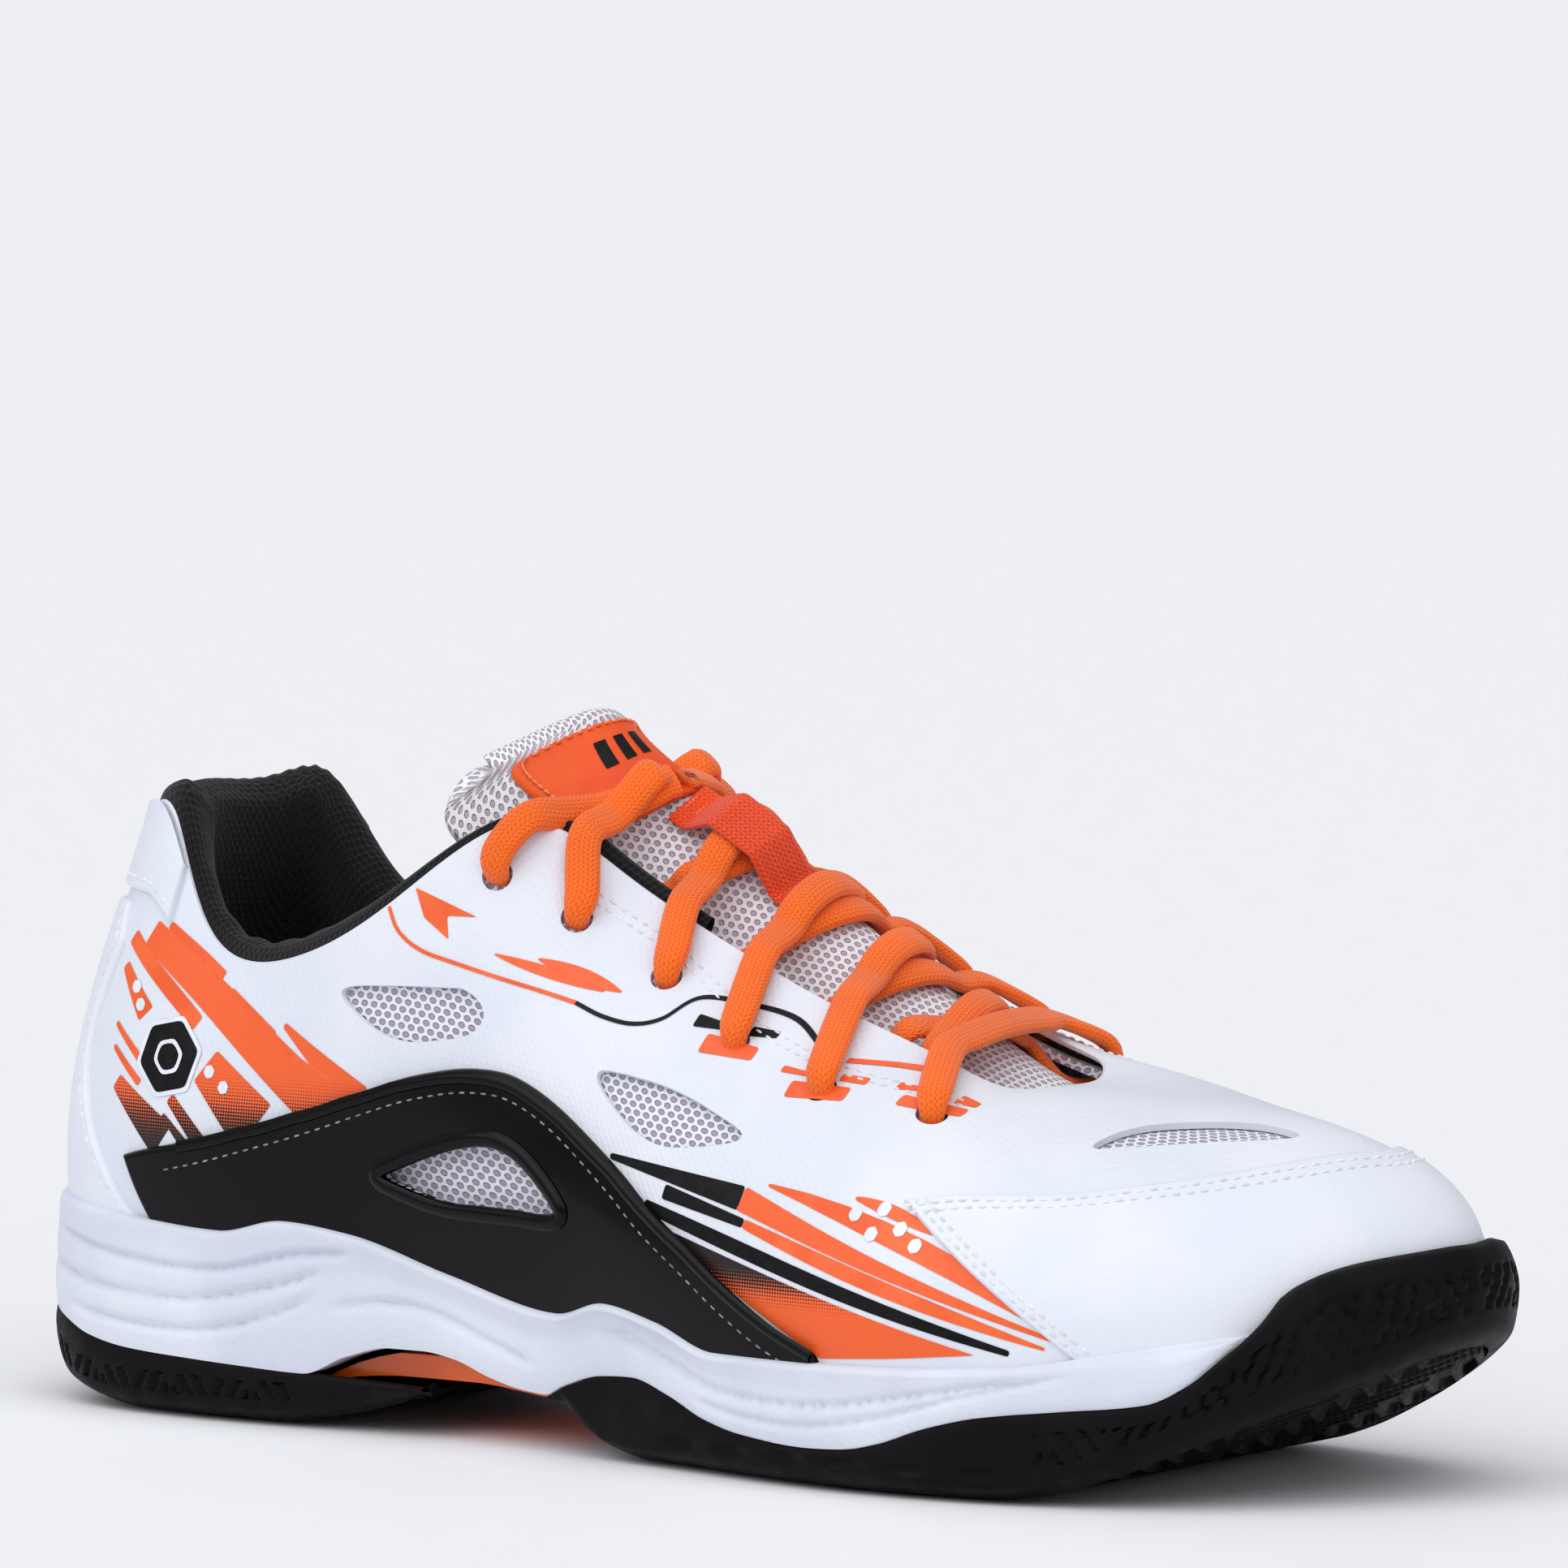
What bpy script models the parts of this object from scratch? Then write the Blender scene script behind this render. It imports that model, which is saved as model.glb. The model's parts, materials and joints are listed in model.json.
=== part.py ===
"""A right-foot court shoe for badminton, one object for each cut, moulded or sewn piece.

Design lengths are millimetres in the shoe's own frame: x from the heel back to the toe, y to the
wearer's left (the medial side), z up from the court. The meshes are made in metres, and the origin
is the middle of the shoe's footprint on the court.
"""
import bmesh
import bpy
import numpy as np

MM = 0.001
GAP = 0.3  # clear space between two solids that touch on the real shoe
MIDDLE = np.array([143.14, -3.02, 0.0])  # footprint middle in the shoe's own frame

STATIONS = 78  # places around the shoe where a full wall is sampled

# Ribs of the upper: foot edge, lower handle, upper handle, top edge. They go once around the shoe.
RIBS = (
    ((3, 0, 28), (-1, 0, 60), (14, 0, 78), (19.5, 0, 104)),  # heel back
    ((8, -17, 28), (5, -21, 58), (17, -17, 80), (23.5, -15, 104)),  # lateral side, going forward
    ((22, -29, 27), (20, -34, 55), (30, -29, 78), (34, -23.5, 103)),
    ((42, -33, 26), (40, -39, 46), (44, -34, 66), (46, -28.5, 83)),
    ((65, -34, 25), (64, -40, 44), (66, -36, 62), (66, -32, 80.5)),
    ((88, -34, 24), (87, -40, 46), (88, -37, 70), (88, -33, 91.5)),
    ((112, -36, 20), (110, -43, 50), (108, -37, 80), (109, -25.5, 105.5)),
    ((133, -39, 17), (130, -46, 45), (125, -38, 78), (126, -17.5, 97)),
    ((156, -44, 15), (152, -51, 38), (146, -42, 68), (147, -16.5, 86)),
    ((181, -49, 14), (177, -56, 36), (169, -44, 62), (168, -16.5, 77)),
    ((208, -51, 15), (204, -58, 37), (193, -42, 60), (188, -16.5, 70)),
    ((235, -46, 18), (234, -53, 38), (216, -32, 59), (200, -13, 64.5)),
    ((260, -32, 22), (262, -38, 45), (239, -18, 61.5), (205, -6, 64)),
    ((278.5, 2, 26), (287, 2, 50), (269, 5, 61.5), (206.5, 3, 64)),  # toe
    ((266, 26, 24), (271, 31, 46.5), (249, 22, 62.5), (205.5, 10, 65)),  # medial side, going back
    ((248, 36, 19), (248, 42, 43), (228, 33, 63.5), (201, 16, 67)),
    ((226, 42, 16), (223, 49, 38), (206, 40, 62), (190, 19, 70)),
    ((200, 45, 15), (196, 52, 38), (184, 42, 65), (171, 20, 78)),
    ((174, 42, 16), (170, 49, 41), (160, 40, 71), (152, 20.5, 88)),
    ((147, 35, 18), (143, 42, 47), (136, 37, 81), (133, 21.5, 98.5)),
    ((119, 30, 21), (116, 38, 52), (112, 36, 84), (113, 26, 107)),
    ((91, 30, 24), (90, 37, 48), (90, 36, 72), (92, 32, 95)),
    ((66, 33, 25), (65, 39, 44), (66, 36, 64), (66, 32, 82)),
    ((42, 33, 26), (40, 38, 48), (45, 33, 70), (47, 27.5, 87)),
    ((22, 29, 27), (20, 34, 55), (30, 28, 80), (34, 24, 104)),
    ((8, 17, 28), (5, 21, 58), (17, 17, 80), (23.5, 15, 104)),
)
TURN = len(RIBS)
TOE = 13.0  # place of the toe rib

# Widest outline of the sole, at the same places around the shoe as the ribs.
SOLE_EDGE = (
    (0, 0), (5, -20), (20, -33), (42, -38), (65, -38.5), (88, -37.5), (112, -38.5), (133, -42),
    (156, -47), (181, -53), (208, -55), (236, -50.5), (264, -36), (286.5, 2),
    (272.5, 30), (251, 40), (227, 46), (200, 49), (174, 46), (147, 39), (119, 34), (91, 34),
    (66, 36.5), (42, 37), (20, 33), (5, 20),
)

# Heights along the shoe, each a row of (x, z).
RIM = (
    (0, 36), (20, 35), (37, 33.7), (54, 32.8), (68, 35.4), (82, 34), (104, 28.5), (129, 23.8),
    (142, 26.6), (155, 24.6), (168, 20.6), (205, 21), (227, 22.4), (245, 25.6), (263, 28.6), (290, 31),
)
SIDE_LINE = (
    (0, 17), (8, 15.4), (14, 14.2), (22, 12.2), (32, 10.9), (46, 10.2), (60, 9.6), (72, 9.2),
    (81, 12.6), (90, 14.6), (97, 14.6), (104, 13.7), (112, 11.2), (119, 9.8), (125, 9.4),
    (130, 11.4), (138, 13.7), (146, 14.2), (155, 12), (164, 8.8), (173, 7.2), (187, 6.4), (196, 6.8),
    (203, 8.2), (212, 11.3), (222, 13.7), (236, 15.4), (250, 17), (256, 20), (261, 24.5),
    (266, 30), (272, 36), (278, 39), (286, 41),
)
SLAB = (
    (0, 14), (6, 10), (14, 6), (24, 5), (60, 5), (68, 6.8), (74, 9.8), (81, 12.6), (90, 14.6),
    (97, 14.6), (104, 13.7), (112, 11.2), (119, 9.8), (128, 11.6), (134, 10.3), (141, 7.6), (150, 5),
    (222, 5), (234, 7), (244, 9.8), (256, 14.6), (268, 19.5), (279, 24), (287, 27),
)
PLATE_UNDERSIDE = (
    (58, 3.3), (64, 3.6), (68, 4.4), (74, 7.6), (81, 8.8), (90, 9.4), (104, 9.4), (112, 8.9),
    (119, 8.0), (124, 8.2),
)
HEEL_GROUND = (
    (0, 12), (4, 9), (8, 6.2), (15, 2.4), (25, 0.5), (32, 0), (64, 0), (78, 2), (90, 5), (96, 7.4),
)
FORE_GROUND = (
    (126, 8.4), (129, 7), (132, 4.6), (139, 1.1), (147, 0), (222, 0), (232, 1.3), (243, 4.6),
    (256, 10.4), (269, 17),
    (279, 22.5), (287, 27),
)

# Layers of the wall, as distances outward from the face of the outer shell.
OUTER_SHELL = (-1.2, 0.0)
MESH_LAYER = (-2.4, -1.5)
BACKING = (-3.35, -2.75)  # eyestay backing and toe puff
STIFFENER = (-3.9, -2.7)  # heel stiffener
LINING = (-4.5, -3.7)
FOOT_OF_LAYERS = 0.03  # share of a rib's length left free below the inner layers
SHARES = (0.125, 0.25, 0.375, 0.5, 0.625, 0.75, 0.875)  # of a rib's length, where every layer is sampled
STEP = TURN / STATIONS

# Eyelets from the collar down: place around the shoe and up its rib. The medial ones count back from TURN.
LATERAL_EYELETS = ((5.94, 0.89), (6.79, 0.85), (7.70, 0.86), (8.46, 0.81), (9.32, 0.78), (10.28, 0.79))
MEDIAL_EYELETS = ((5.94, 0.89), (6.79, 0.85), (7.68, 0.87), (8.4, 0.84), (9.15, 0.83), (9.95, 0.85))
EYELET_BORE = 5.8
LACE_WIDTH = 3.4  # the tubular lace squeezed round

FLEX_LINE = (198.0, 10.0)  # x and z of the ball of the foot, where the sole bends
TONGUE_LINE = (122.0, 107.5)  # x and z of the line where the tongue folds forward


# ---------------------------------------------------------------- curves and the upper's surface


def closed_curve(rows, place):
    """A smooth closed curve through rows; place counts rows and may be an array."""
    knots = np.asarray(rows, float)
    count = len(knots)
    ring = 4 * np.eye(count) + np.roll(np.eye(count), 1, 0) + np.roll(np.eye(count), -1, 0)
    pull = 3 * (np.roll(knots, -1, 0) - np.roll(knots, 1, 0)).reshape(count, -1)
    slopes = np.linalg.solve(ring, pull).reshape(knots.shape)
    return hermite(knots, slopes, np.asarray(place, float) % count, wrap=True)


def open_curve(rows, place):
    """A smooth open curve through rows; place runs from 0 to the last row."""
    knots = np.asarray(rows, float)
    slopes = np.gradient(knots, axis=0)
    return hermite(knots, slopes, np.clip(place, 0, len(knots) - 1), wrap=False)


def hermite(knots, slopes, place, wrap):
    last = len(knots) - (1 if wrap else 2)
    start = np.clip(np.floor(place).astype(int), 0, last)
    end = (start + 1) % len(knots)
    f = (place - start).reshape(np.shape(place) + (1,) * (knots.ndim - 1))
    left = knots[start] * (1 + 2 * f) * (1 - f) ** 2 + slopes[start] * f * (1 - f) ** 2
    right = knots[end] * f * f * (3 - 2 * f) + slopes[end] * f * f * (f - 1)
    return left + right


def height(points, x):
    """A smooth height through (x, z) points that never overshoots them."""
    p = np.asarray(points, float)
    step = np.diff(p[:, 0])
    rise = np.diff(p[:, 1]) / step
    product = rise[:-1] * rise[1:]
    inner = np.where(product > 0, 2 * product / (rise[:-1] + rise[1:] + 1e-12), 0)
    slope = np.concatenate([rise[:1], inner, rise[-1:]])
    x = np.clip(x, p[0, 0], p[-1, 0])
    i = np.clip(np.searchsorted(p[:, 0], x) - 1, 0, len(step) - 1)
    f = (x - p[i, 0]) / step[i]
    left = p[i, 1] * (1 + 2 * f) * (1 - f) ** 2 + slope[i] * step[i] * f * (1 - f) ** 2
    return left + p[i + 1, 1] * f * f * (3 - 2 * f) + slope[i + 1] * step[i] * f * f * (f - 1)


def upper(u, t):
    """A point of the outer shell's face: u around the shoe in ribs, t from foot edge to top edge."""
    ribs = closed_curve(RIBS, u)
    t = np.asarray(t, float)[..., None]
    low = ribs[..., 0, :] * (1 - t) ** 3 + 3 * ribs[..., 1, :] * t * (1 - t) ** 2
    return low + 3 * ribs[..., 2, :] * t * t * (1 - t) + ribs[..., 3, :] * t**3


def outward(u, t):
    """The unit normal of the shell's face."""
    t = np.clip(t, 0.0, 0.999)
    around = upper(u + 0.02, t) - upper(u - 0.02, t)
    along = upper(u, t + 0.001) - upper(u, t - 0.001)
    normal = np.cross(around, along)
    return normal / np.linalg.norm(normal, axis=-1, keepdims=True)


def wall(u, t, distance, rise=0.0):
    """A point at a distance from the shell's face, and past its top edge by rise."""
    u = np.asarray(u, float)
    t = np.asarray(t, float) + 0 * u
    u = u + 0 * t
    up = upper(u, t) - upper(u, t - 0.01)
    up = up / np.linalg.norm(up, axis=-1, keepdims=True)
    out = outward(u, t) * np.asarray(distance + 0 * t)[..., None]
    return upper(u, t) + out + up * np.asarray(rise + 0 * t)[..., None]


def rib_share(u, z):
    """How far up the rib at u the height z lies."""
    low = np.zeros_like(u)
    high = np.ones_like(u)
    for _ in range(24):
        middle = (low + high) / 2
        below = upper(u, middle)[..., 2] < z
        low = np.where(below, middle, low)
        high = np.where(below, high, middle)
    return (low + high) / 2


def locate(points, axes, around):
    """The (u, t) of points given by two of their coordinates, searched over a stretch of the shoe."""
    points = np.asarray(points, float)
    us, ts = np.meshgrid(np.linspace(*around, 141), np.linspace(0, 1, 41), indexing="ij")
    grid = upper(us, ts)[..., axes]
    found = []
    for point in points:
        near = ((grid - point) ** 2).sum(-1)
        i = np.unravel_index(near.argmin(), near.shape)
        place = np.array([us[i], ts[i]])
        for _ in range(8):
            here = upper(*place)[..., axes]
            slope_u = (upper(place[0] + 0.01, place[1])[..., axes] - here) / 0.01
            slope_t = (upper(place[0], place[1] + 0.001)[..., axes] - here) / 0.001
            jacobian = np.stack([slope_u, slope_t], axis=1)
            place = place + np.clip(np.linalg.solve(jacobian, point - here), -0.3, 0.3)
            place[1] = np.clip(place[1], 0, 1)
        found.append(place)
    return np.array(found)


def rounded(corners, radius, steps=4):
    """A closed outline through corners, each one rounded."""
    corners = np.asarray(corners, float)
    outline = []
    for i, corner in enumerate(corners):
        ends = []
        for other in (corners[i - 1], corners[(i + 1) % len(corners)]):
            edge = other - corner
            length = np.linalg.norm(edge)
            ends.append(corner + edge / length * min(radius, 0.45 * length))
        for f in np.linspace(0, 1, steps):
            outline.append(ends[0] * (1 - f) ** 2 + 2 * corner * f * (1 - f) + ends[1] * f * f)
    return np.array(outline)


def sole_edge(u, inset=0.0):
    """A point of the sole's outline, moved inward by inset; x and y only."""
    here = closed_curve(SOLE_EDGE, u)
    along = closed_curve(SOLE_EDGE, u + 0.02) - closed_curve(SOLE_EDGE, u - 0.02)
    along = along / np.linalg.norm(along, axis=-1, keepdims=True)
    inward = np.stack([-along[..., 1], along[..., 0]], axis=-1)
    return here + inward * np.asarray(inset + 0 * u)[..., None]


def at_height(xy, z):
    return np.concatenate([xy, np.asarray(z + 0 * xy[..., 0])[..., None]], axis=-1)


# ---------------------------------------------------------------- solids


def material(name, colour, roughness, metallic=0.0):
    made = bpy.data.materials.new(name)
    made.use_nodes = True
    shader = made.node_tree.nodes["Principled BSDF"]
    shader.inputs["Base Color"].default_value = (*colour, 1)
    shader.inputs["Roughness"].default_value = roughness
    shader.inputs["Metallic"].default_value = metallic
    made.diffuse_color = (*colour, 1)
    return made


def solid(name, points, faces, finish, smooth=40):
    """An object from millimetre points in the shoe's frame, with its faces turned outward."""
    mesh = bpy.data.meshes.new(name)
    metres = (np.asarray(points) - MIDDLE) * MM
    mesh.from_pydata(metres.tolist(), [], faces)
    shape = bmesh.new()
    shape.from_mesh(mesh)
    bmesh.ops.recalc_face_normals(shape, faces=shape.faces[:])
    if shape.calc_volume(signed=True) < 0:
        bmesh.ops.reverse_faces(shape, faces=shape.faces[:])
    shape.to_mesh(mesh)
    shape.free()
    mesh.materials.append(finish)
    mesh.shade_smooth()
    mesh.set_sharp_from_angle(angle=np.radians(smooth))
    made = bpy.data.objects.new(name, mesh)
    bpy.context.scene.collection.objects.link(made)
    return made


def loft(name, rings, finish, pole):
    """A solid through closed rings, closed at both ends by strips that cross from side to side.

    With pole, a ring starts at a point on the middle line, or else at one end of a straight edge.
    """
    rings = np.asarray(rings)
    levels, count = rings.shape[:2]
    faces = []
    for level in range(levels - 1):
        for k in range(count):
            a, b = level * count + k, level * count + (k + 1) % count
            faces.append((a, b, b + count, a + count))
    for base in (0, (levels - 1) * count):
        left = list(range(1 if pole else 0, (count + 1) // 2))
        right = [(count - k) % count if pole else count - 1 - k for k in left]
        if pole:
            faces.append((base, base + 1, base + count - 1))
        for (a, c), (b, d) in zip(zip(left, right), zip(left[1:], right[1:])):
            corners = [base + a, base + b, base + d, base + c]
            faces.append(tuple(dict.fromkeys(corners)))
        if pole and count % 2 == 0:
            faces.append((base + left[-1], base + count // 2, base + right[-1]))
    return solid(name, rings.reshape(-1, 3), faces, finish)


def ring_of_sections(name, sections, finish, closed):
    """A solid swept around the shoe through closed cross-sections, with flat ends unless closed."""
    sections = np.asarray(sections)
    count, size = sections.shape[:2]
    faces = []
    for i in range(count if closed else count - 1):
        for k in range(size):
            a, b = i * size + k, i * size + (k + 1) % size
            c, d = (i + 1) % count * size + (k + 1) % size, (i + 1) % count * size + k
            faces.append((a, b, c, d))
    if not closed:
        faces.append(tuple(range(size)))
        faces.append(tuple(range((count - 1) * size, count * size)))
    return solid(name, sections.reshape(-1, 3), faces, finish)


def layer(name, u, t, distances, finish, closed=False):
    """A sheet of even thickness over the grid of places u, t, between two distances."""
    inner = wall(u, t, distances[0])
    outer = wall(u, t, distances[1])
    return sheet(name, inner, outer, finish, closed)


def sheet(name, inner, outer, finish, closed=False):
    """A solid between two grids of points, the second lying over the first."""
    rows, columns = inner.shape[:2]
    points = np.concatenate([inner.reshape(-1, 3), outer.reshape(-1, 3)])
    shift = rows * columns

    def at(i, j):
        return (i % rows) * columns + j

    faces = []
    for i in range(rows if closed else rows - 1):
        for j in range(columns - 1):
            a, b, c, d = at(i, j), at(i + 1, j), at(i + 1, j + 1), at(i, j + 1)
            for half in ((a, b, c), (a, c, d)):
                faces.append(half)
                faces.append(tuple(corner + shift for corner in reversed(half)))
        for j in (0, columns - 1):
            faces.append((at(i, j), at(i + 1, j), at(i + 1, j) + shift, at(i, j) + shift))
    if not closed:
        for i in (0, rows - 1):
            for j in range(columns - 1):
                faces.append((at(i, j), at(i, j + 1), at(i, j + 1) + shift, at(i, j) + shift))
    return solid(name, points, faces, finish)


def grid_normals(grid):
    """Unit normals of a grid of points, pointing to the side of (second axis) x (first axis)."""
    normal = np.cross(np.gradient(grid, axis=1), np.gradient(grid, axis=0))
    return normal / np.linalg.norm(normal, axis=-1, keepdims=True)


def between(low, high, count):
    """A grid of places between two rows of (u, t) places."""
    f = np.linspace(0, 1, count)[None, :, None]
    grid = np.asarray(low)[:, None] * (1 - f) + np.asarray(high)[:, None] * f
    return grid[..., 0], grid[..., 1]


def prism_cutter(name, places, distances):
    """A cutter through the wall, over an outline of (u, t) places."""
    places = np.asarray(places)
    low = wall(places[:, 0], places[:, 1], distances[0])
    high = wall(places[:, 0], places[:, 1], distances[1])
    count = len(places)
    faces = [tuple(range(count)), tuple(range(count, 2 * count))]
    for k in range(count):
        after = (k + 1) % count
        faces.append((k, after, after + count, k + count))
    return as_cutter(solid(name, np.concatenate([low, high]), faces, bpy.data.materials["cutter"]))


def bore_cutter(name, u, t, bore, distances, sides=12):
    """A round cutter through the wall at one place, along the wall's normal."""
    axis = outward(u, t)
    centre = upper(u, t)
    across = np.cross(axis, (0, 0, 1.0))
    across = across / np.linalg.norm(across)
    other = np.cross(axis, across)
    turn = np.linspace(0, 2 * np.pi, sides, endpoint=False)[:, None]
    ring = bore / 2 * (np.cos(turn) * across + np.sin(turn) * other)
    points = np.concatenate([centre + axis * distances[0] + ring, centre + axis * distances[1] + ring])
    faces = [tuple(range(sides)), tuple(range(sides, 2 * sides))]
    for k in range(sides):
        after = (k + 1) % sides
        faces.append((k, after, after + sides, k + sides))
    return as_cutter(solid(name, points, faces, bpy.data.materials["cutter"]))


def as_cutter(made):
    made.hide_render = True
    made.display_type = "WIRE"
    return made


def cut(target, cutters):
    for cutter in cutters:
        boolean = target.modifiers.new(cutter.name, "BOOLEAN")
        boolean.operation = "DIFFERENCE"
        boolean.solver = "EXACT"
        boolean.object = cutter


# ---------------------------------------------------------------- sole


def slab_ring(u, inset, z):
    return at_height(sole_edge(u, inset), z)


def make_midsole(finish):
    u = np.arange(STATIONS) * TURN / STATIONS
    foot = upper(u, 0 * u)
    rim_z = height(RIM, foot[:, 0])
    line = height(SIDE_LINE, sole_edge(u)[:, 0]) + 3 * GAP
    bare = np.clip((rim_z - line) / 8, 0, 1)  # 0 where the toe bumper covers the side
    rim_share = rib_share(u, rim_z)
    floor = wall(u, 0 * u, 0.4)
    floor[:, 2] = foot[:, 2] - 0.5
    basin = wall(u, rim_share * 0.5, 0.4)
    lip = wall(u, rim_share, 0.4)
    out = outward(u, rim_share)[:, :2]
    out = out / np.linalg.norm(out, axis=-1, keepdims=True)
    covered = sole_edge(u, 3.5)
    lip_outer = lip[:, :2] + out * 2.2
    side = bare[:, None]
    low = np.minimum(line, rim_z - 0.4)
    rings = [
        floor,
        basin,
        lip,
        at_height(lip_outer * side + covered * (1 - side), rim_z - 0.5 - 0.5 * bare),
        at_height(sole_edge(u, 0.4) * side + covered * (1 - side), low + 0.62 * (rim_z - low)),
        at_height(sole_edge(u, 0) * side + covered * (1 - side), low + 0.25 * (rim_z - low)),
        at_height(sole_edge(u, 0.4) * side + covered * (1 - side), low),
        slab_ring(u, 3.4, low),
        slab_ring(u, 4.4, np.minimum(height(SLAB, sole_edge(u, 4.4)[:, 0]), low)),
    ]
    return loft("midsole", rings, finish, pole=True)


def make_outsole_heel(finish):
    u = np.arange(16, -17, -1) * STEP
    x = sole_edge(u)[:, 0]
    top = np.minimum(height(SIDE_LINE[:8], x), 17.0)
    top = np.where(x > 72, 9.2 - 0.035 * (x - 72), top)
    ground = height(HEEL_GROUND, sole_edge(u, 5)[:, 0])
    low = height(HEEL_GROUND, sole_edge(u, 0.8)[:, 0]) + np.clip((96 - x) / 10, 0.25, 1) * 3
    low = np.minimum(low, top - 0.6)
    inner_x = sole_edge(u, 3.4)[:, 0]
    floor = np.where(inner_x > 56, height(PLATE_UNDERSIDE, inner_x) - 0.8, height(SLAB, inner_x) - GAP)
    floor = np.minimum(floor, top)
    rings = [
        slab_ring(u, 5, ground),
        slab_ring(u, 0.8, low),
        slab_ring(u, 0.1, low + 0.6 * (top - low)),
        slab_ring(u, 0.4, top),
        slab_ring(u, 2.9, top),
        slab_ring(u, 3.4, floor),
    ]
    return loft("outsole_heel", rings, finish, pole=False)


def make_outsole_forefoot(finish):
    u = np.arange(20, STATIONS - 19) * STEP
    x = sole_edge(u)[:, 0]
    floor_x = sole_edge(u, 2.8)[:, 0]
    floor = height(SLAB, floor_x) - 0.6 - 2.4 * np.clip((148 - floor_x) / 12, 0, 1)
    top = height(SIDE_LINE, x)
    top[[0, -1]] = floor[[0, -1]] + 0.3  # the straight rear edge stays below the midsole
    rim_z = height(RIM, upper(u, 0 * u)[:, 0])
    bumper = np.clip((top - rim_z - 0.3) / 5, 0, 1)[:, None]  # 1 where the wall climbs onto the toe
    ground = np.minimum(height(FORE_GROUND, sole_edge(u, 5)[:, 0]), floor - 1.2)
    low = np.minimum(height(FORE_GROUND, sole_edge(u, 0.8)[:, 0]) + 3, top - 0.8)
    share = rib_share(u, top)
    onto = wall(u, share, 2.7)[:, :2]
    onto_outer = wall(u, share, 4.8)[:, :2]
    step = np.maximum(floor + 0.3, np.minimum(top - 0.5, rim_z + 0.4))
    step = np.minimum(step, top - 0.2)
    floor = np.minimum(floor, step - 0.1)
    rings = [
        slab_ring(u, 5, ground),
        slab_ring(u, 0.8, low),
        slab_ring(u, 0, low + 0.6 * (top - low)),
        at_height(sole_edge(u, 0.5) * (1 - bumper) + onto_outer * bumper, top),
        at_height(sole_edge(u, 2.5) * (1 - bumper) + onto * bumper, top),
        slab_ring(u, 2.5, step),
        slab_ring(u, 2.8, floor),
    ]
    return loft("outsole_forefoot", rings, finish, pole=False)


def make_shank_plate(finish):
    x = np.linspace(62.5, 123.5, 15)
    under = height(PLATE_UNDERSIDE, x)
    over = height(SLAB, x) - GAP - 0.9
    lateral, medial = -32.0, 29.0
    sections = []
    for station, low, high in zip(x, under, over):
        sections.append(
            [
                (station, lateral, low),
                (station, medial, low),
                (station, medial, high),
                (station, lateral, high),
            ]
        )
    return ring_of_sections("shank_plate", sections, finish, closed=False)


def make_strobel_board(finish):
    u = np.arange(52) * TURN / 52
    edge = wall(u, 0 * u, -1.6)[:, :2]
    z = upper(u, 0 * u)[:, 2]
    rings = [at_height(edge, z - 0.2), at_height(edge, z + 1.2)]
    return loft("strobel_board", rings, finish, pole=True)


def make_sockliner(finish):
    u = np.arange(52) * TURN / 52
    z = upper(u, 0 * u)[:, 2]
    edge = wall(u, 0 * u, -6.4)[:, :2]
    lip = wall(u, 0.1 + 0 * u, -6.6)
    centre = np.array([0, 1]) * edge * 0.86 + np.array([1, 0]) * (edge * 0.97 + 4.2)
    rings = [
        at_height(edge, z + 1.6),
        lip,
        lip + np.concatenate([0.5 * (centre - lip[:, :2]) * 0.25, 0 * z[:, None]], axis=1),
        at_height(centre, z + 5.2),
    ]
    return loft("sockliner", rings, finish, pole=True)


# ---------------------------------------------------------------- upper


def shares_between(low, high):
    """Sample shares from low to high that every layer of the wall has in common."""
    return [low, *(share for share in SHARES if low + 0.02 < share < high - 0.02), high]


def full_layer(name, t_range, distances, finish):
    u, t = np.meshgrid(np.arange(STATIONS) * STEP, shares_between(*t_range), indexing="ij")
    return layer(name, u, t, distances, finish, closed=True)


def part_layer(name, stations, t_range, distances, finish):
    """A layer over whole stations, from the first to the last one given."""
    places = np.arange(stations[0], stations[1] + 1) * STEP
    u, t = np.meshgrid(places, shares_between(*t_range), indexing="ij")
    return layer(name, u, t, distances, finish)


LATERAL = (0.5, 12.5)
MEDIAL = (TURN - 12.5, TURN - 0.5)
SIDE = (0, 2)  # x and z, as in a side elevation
PLAN = (0, 1)  # x and y, as in a plan


def elevation(points, side):
    return locate(points, list(SIDE), side)


WINDOWS = {  # openings in the shell, in side elevation
    "collar": ((75, 76.5), (111, 74.5), (107, 68.5), (90, 66.5)),
    "quarter": ((130.5, 66.2), (151, 63.5), (170.5, 56), (147.2, 53.2)),
    "saddle": ((86, 44.5), (102, 50.3), (118.5, 52), (131.5, 41.5), (127, 39.3), (103, 39.6)),
}
TOE_VENT = ((224, -26.5), (229, -15), (243, -2.5), (254.5, -0.5), (246, -11))  # in plan
TOE_VENT_AXIS_Y = 6.5  # the vents mirror about the middle of the vamp


def window_cutters():
    made = []
    for name, corners in WINDOWS.items():
        for side_name, side in (("lateral", LATERAL), ("medial", MEDIAL)):
            outline = rounded(elevation(corners, side), 0.35)
            made.append(prism_cutter(f"cut_{name}_{side_name}", outline, (-6.0, 5.0)))
    for side_name, sign, around in (("lateral", 1, (10.5, 13.2)), ("medial", -1, (12.8, 15.5))):
        corners = [(x, y if sign > 0 else 2 * TOE_VENT_AXIS_Y - y) for x, y in TOE_VENT]
        outline = rounded(locate(corners, list(PLAN), around), 0.35)
        made.append(prism_cutter(f"cut_vent_{side_name}", outline, (-5.0, 3.0)))
    return made


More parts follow.
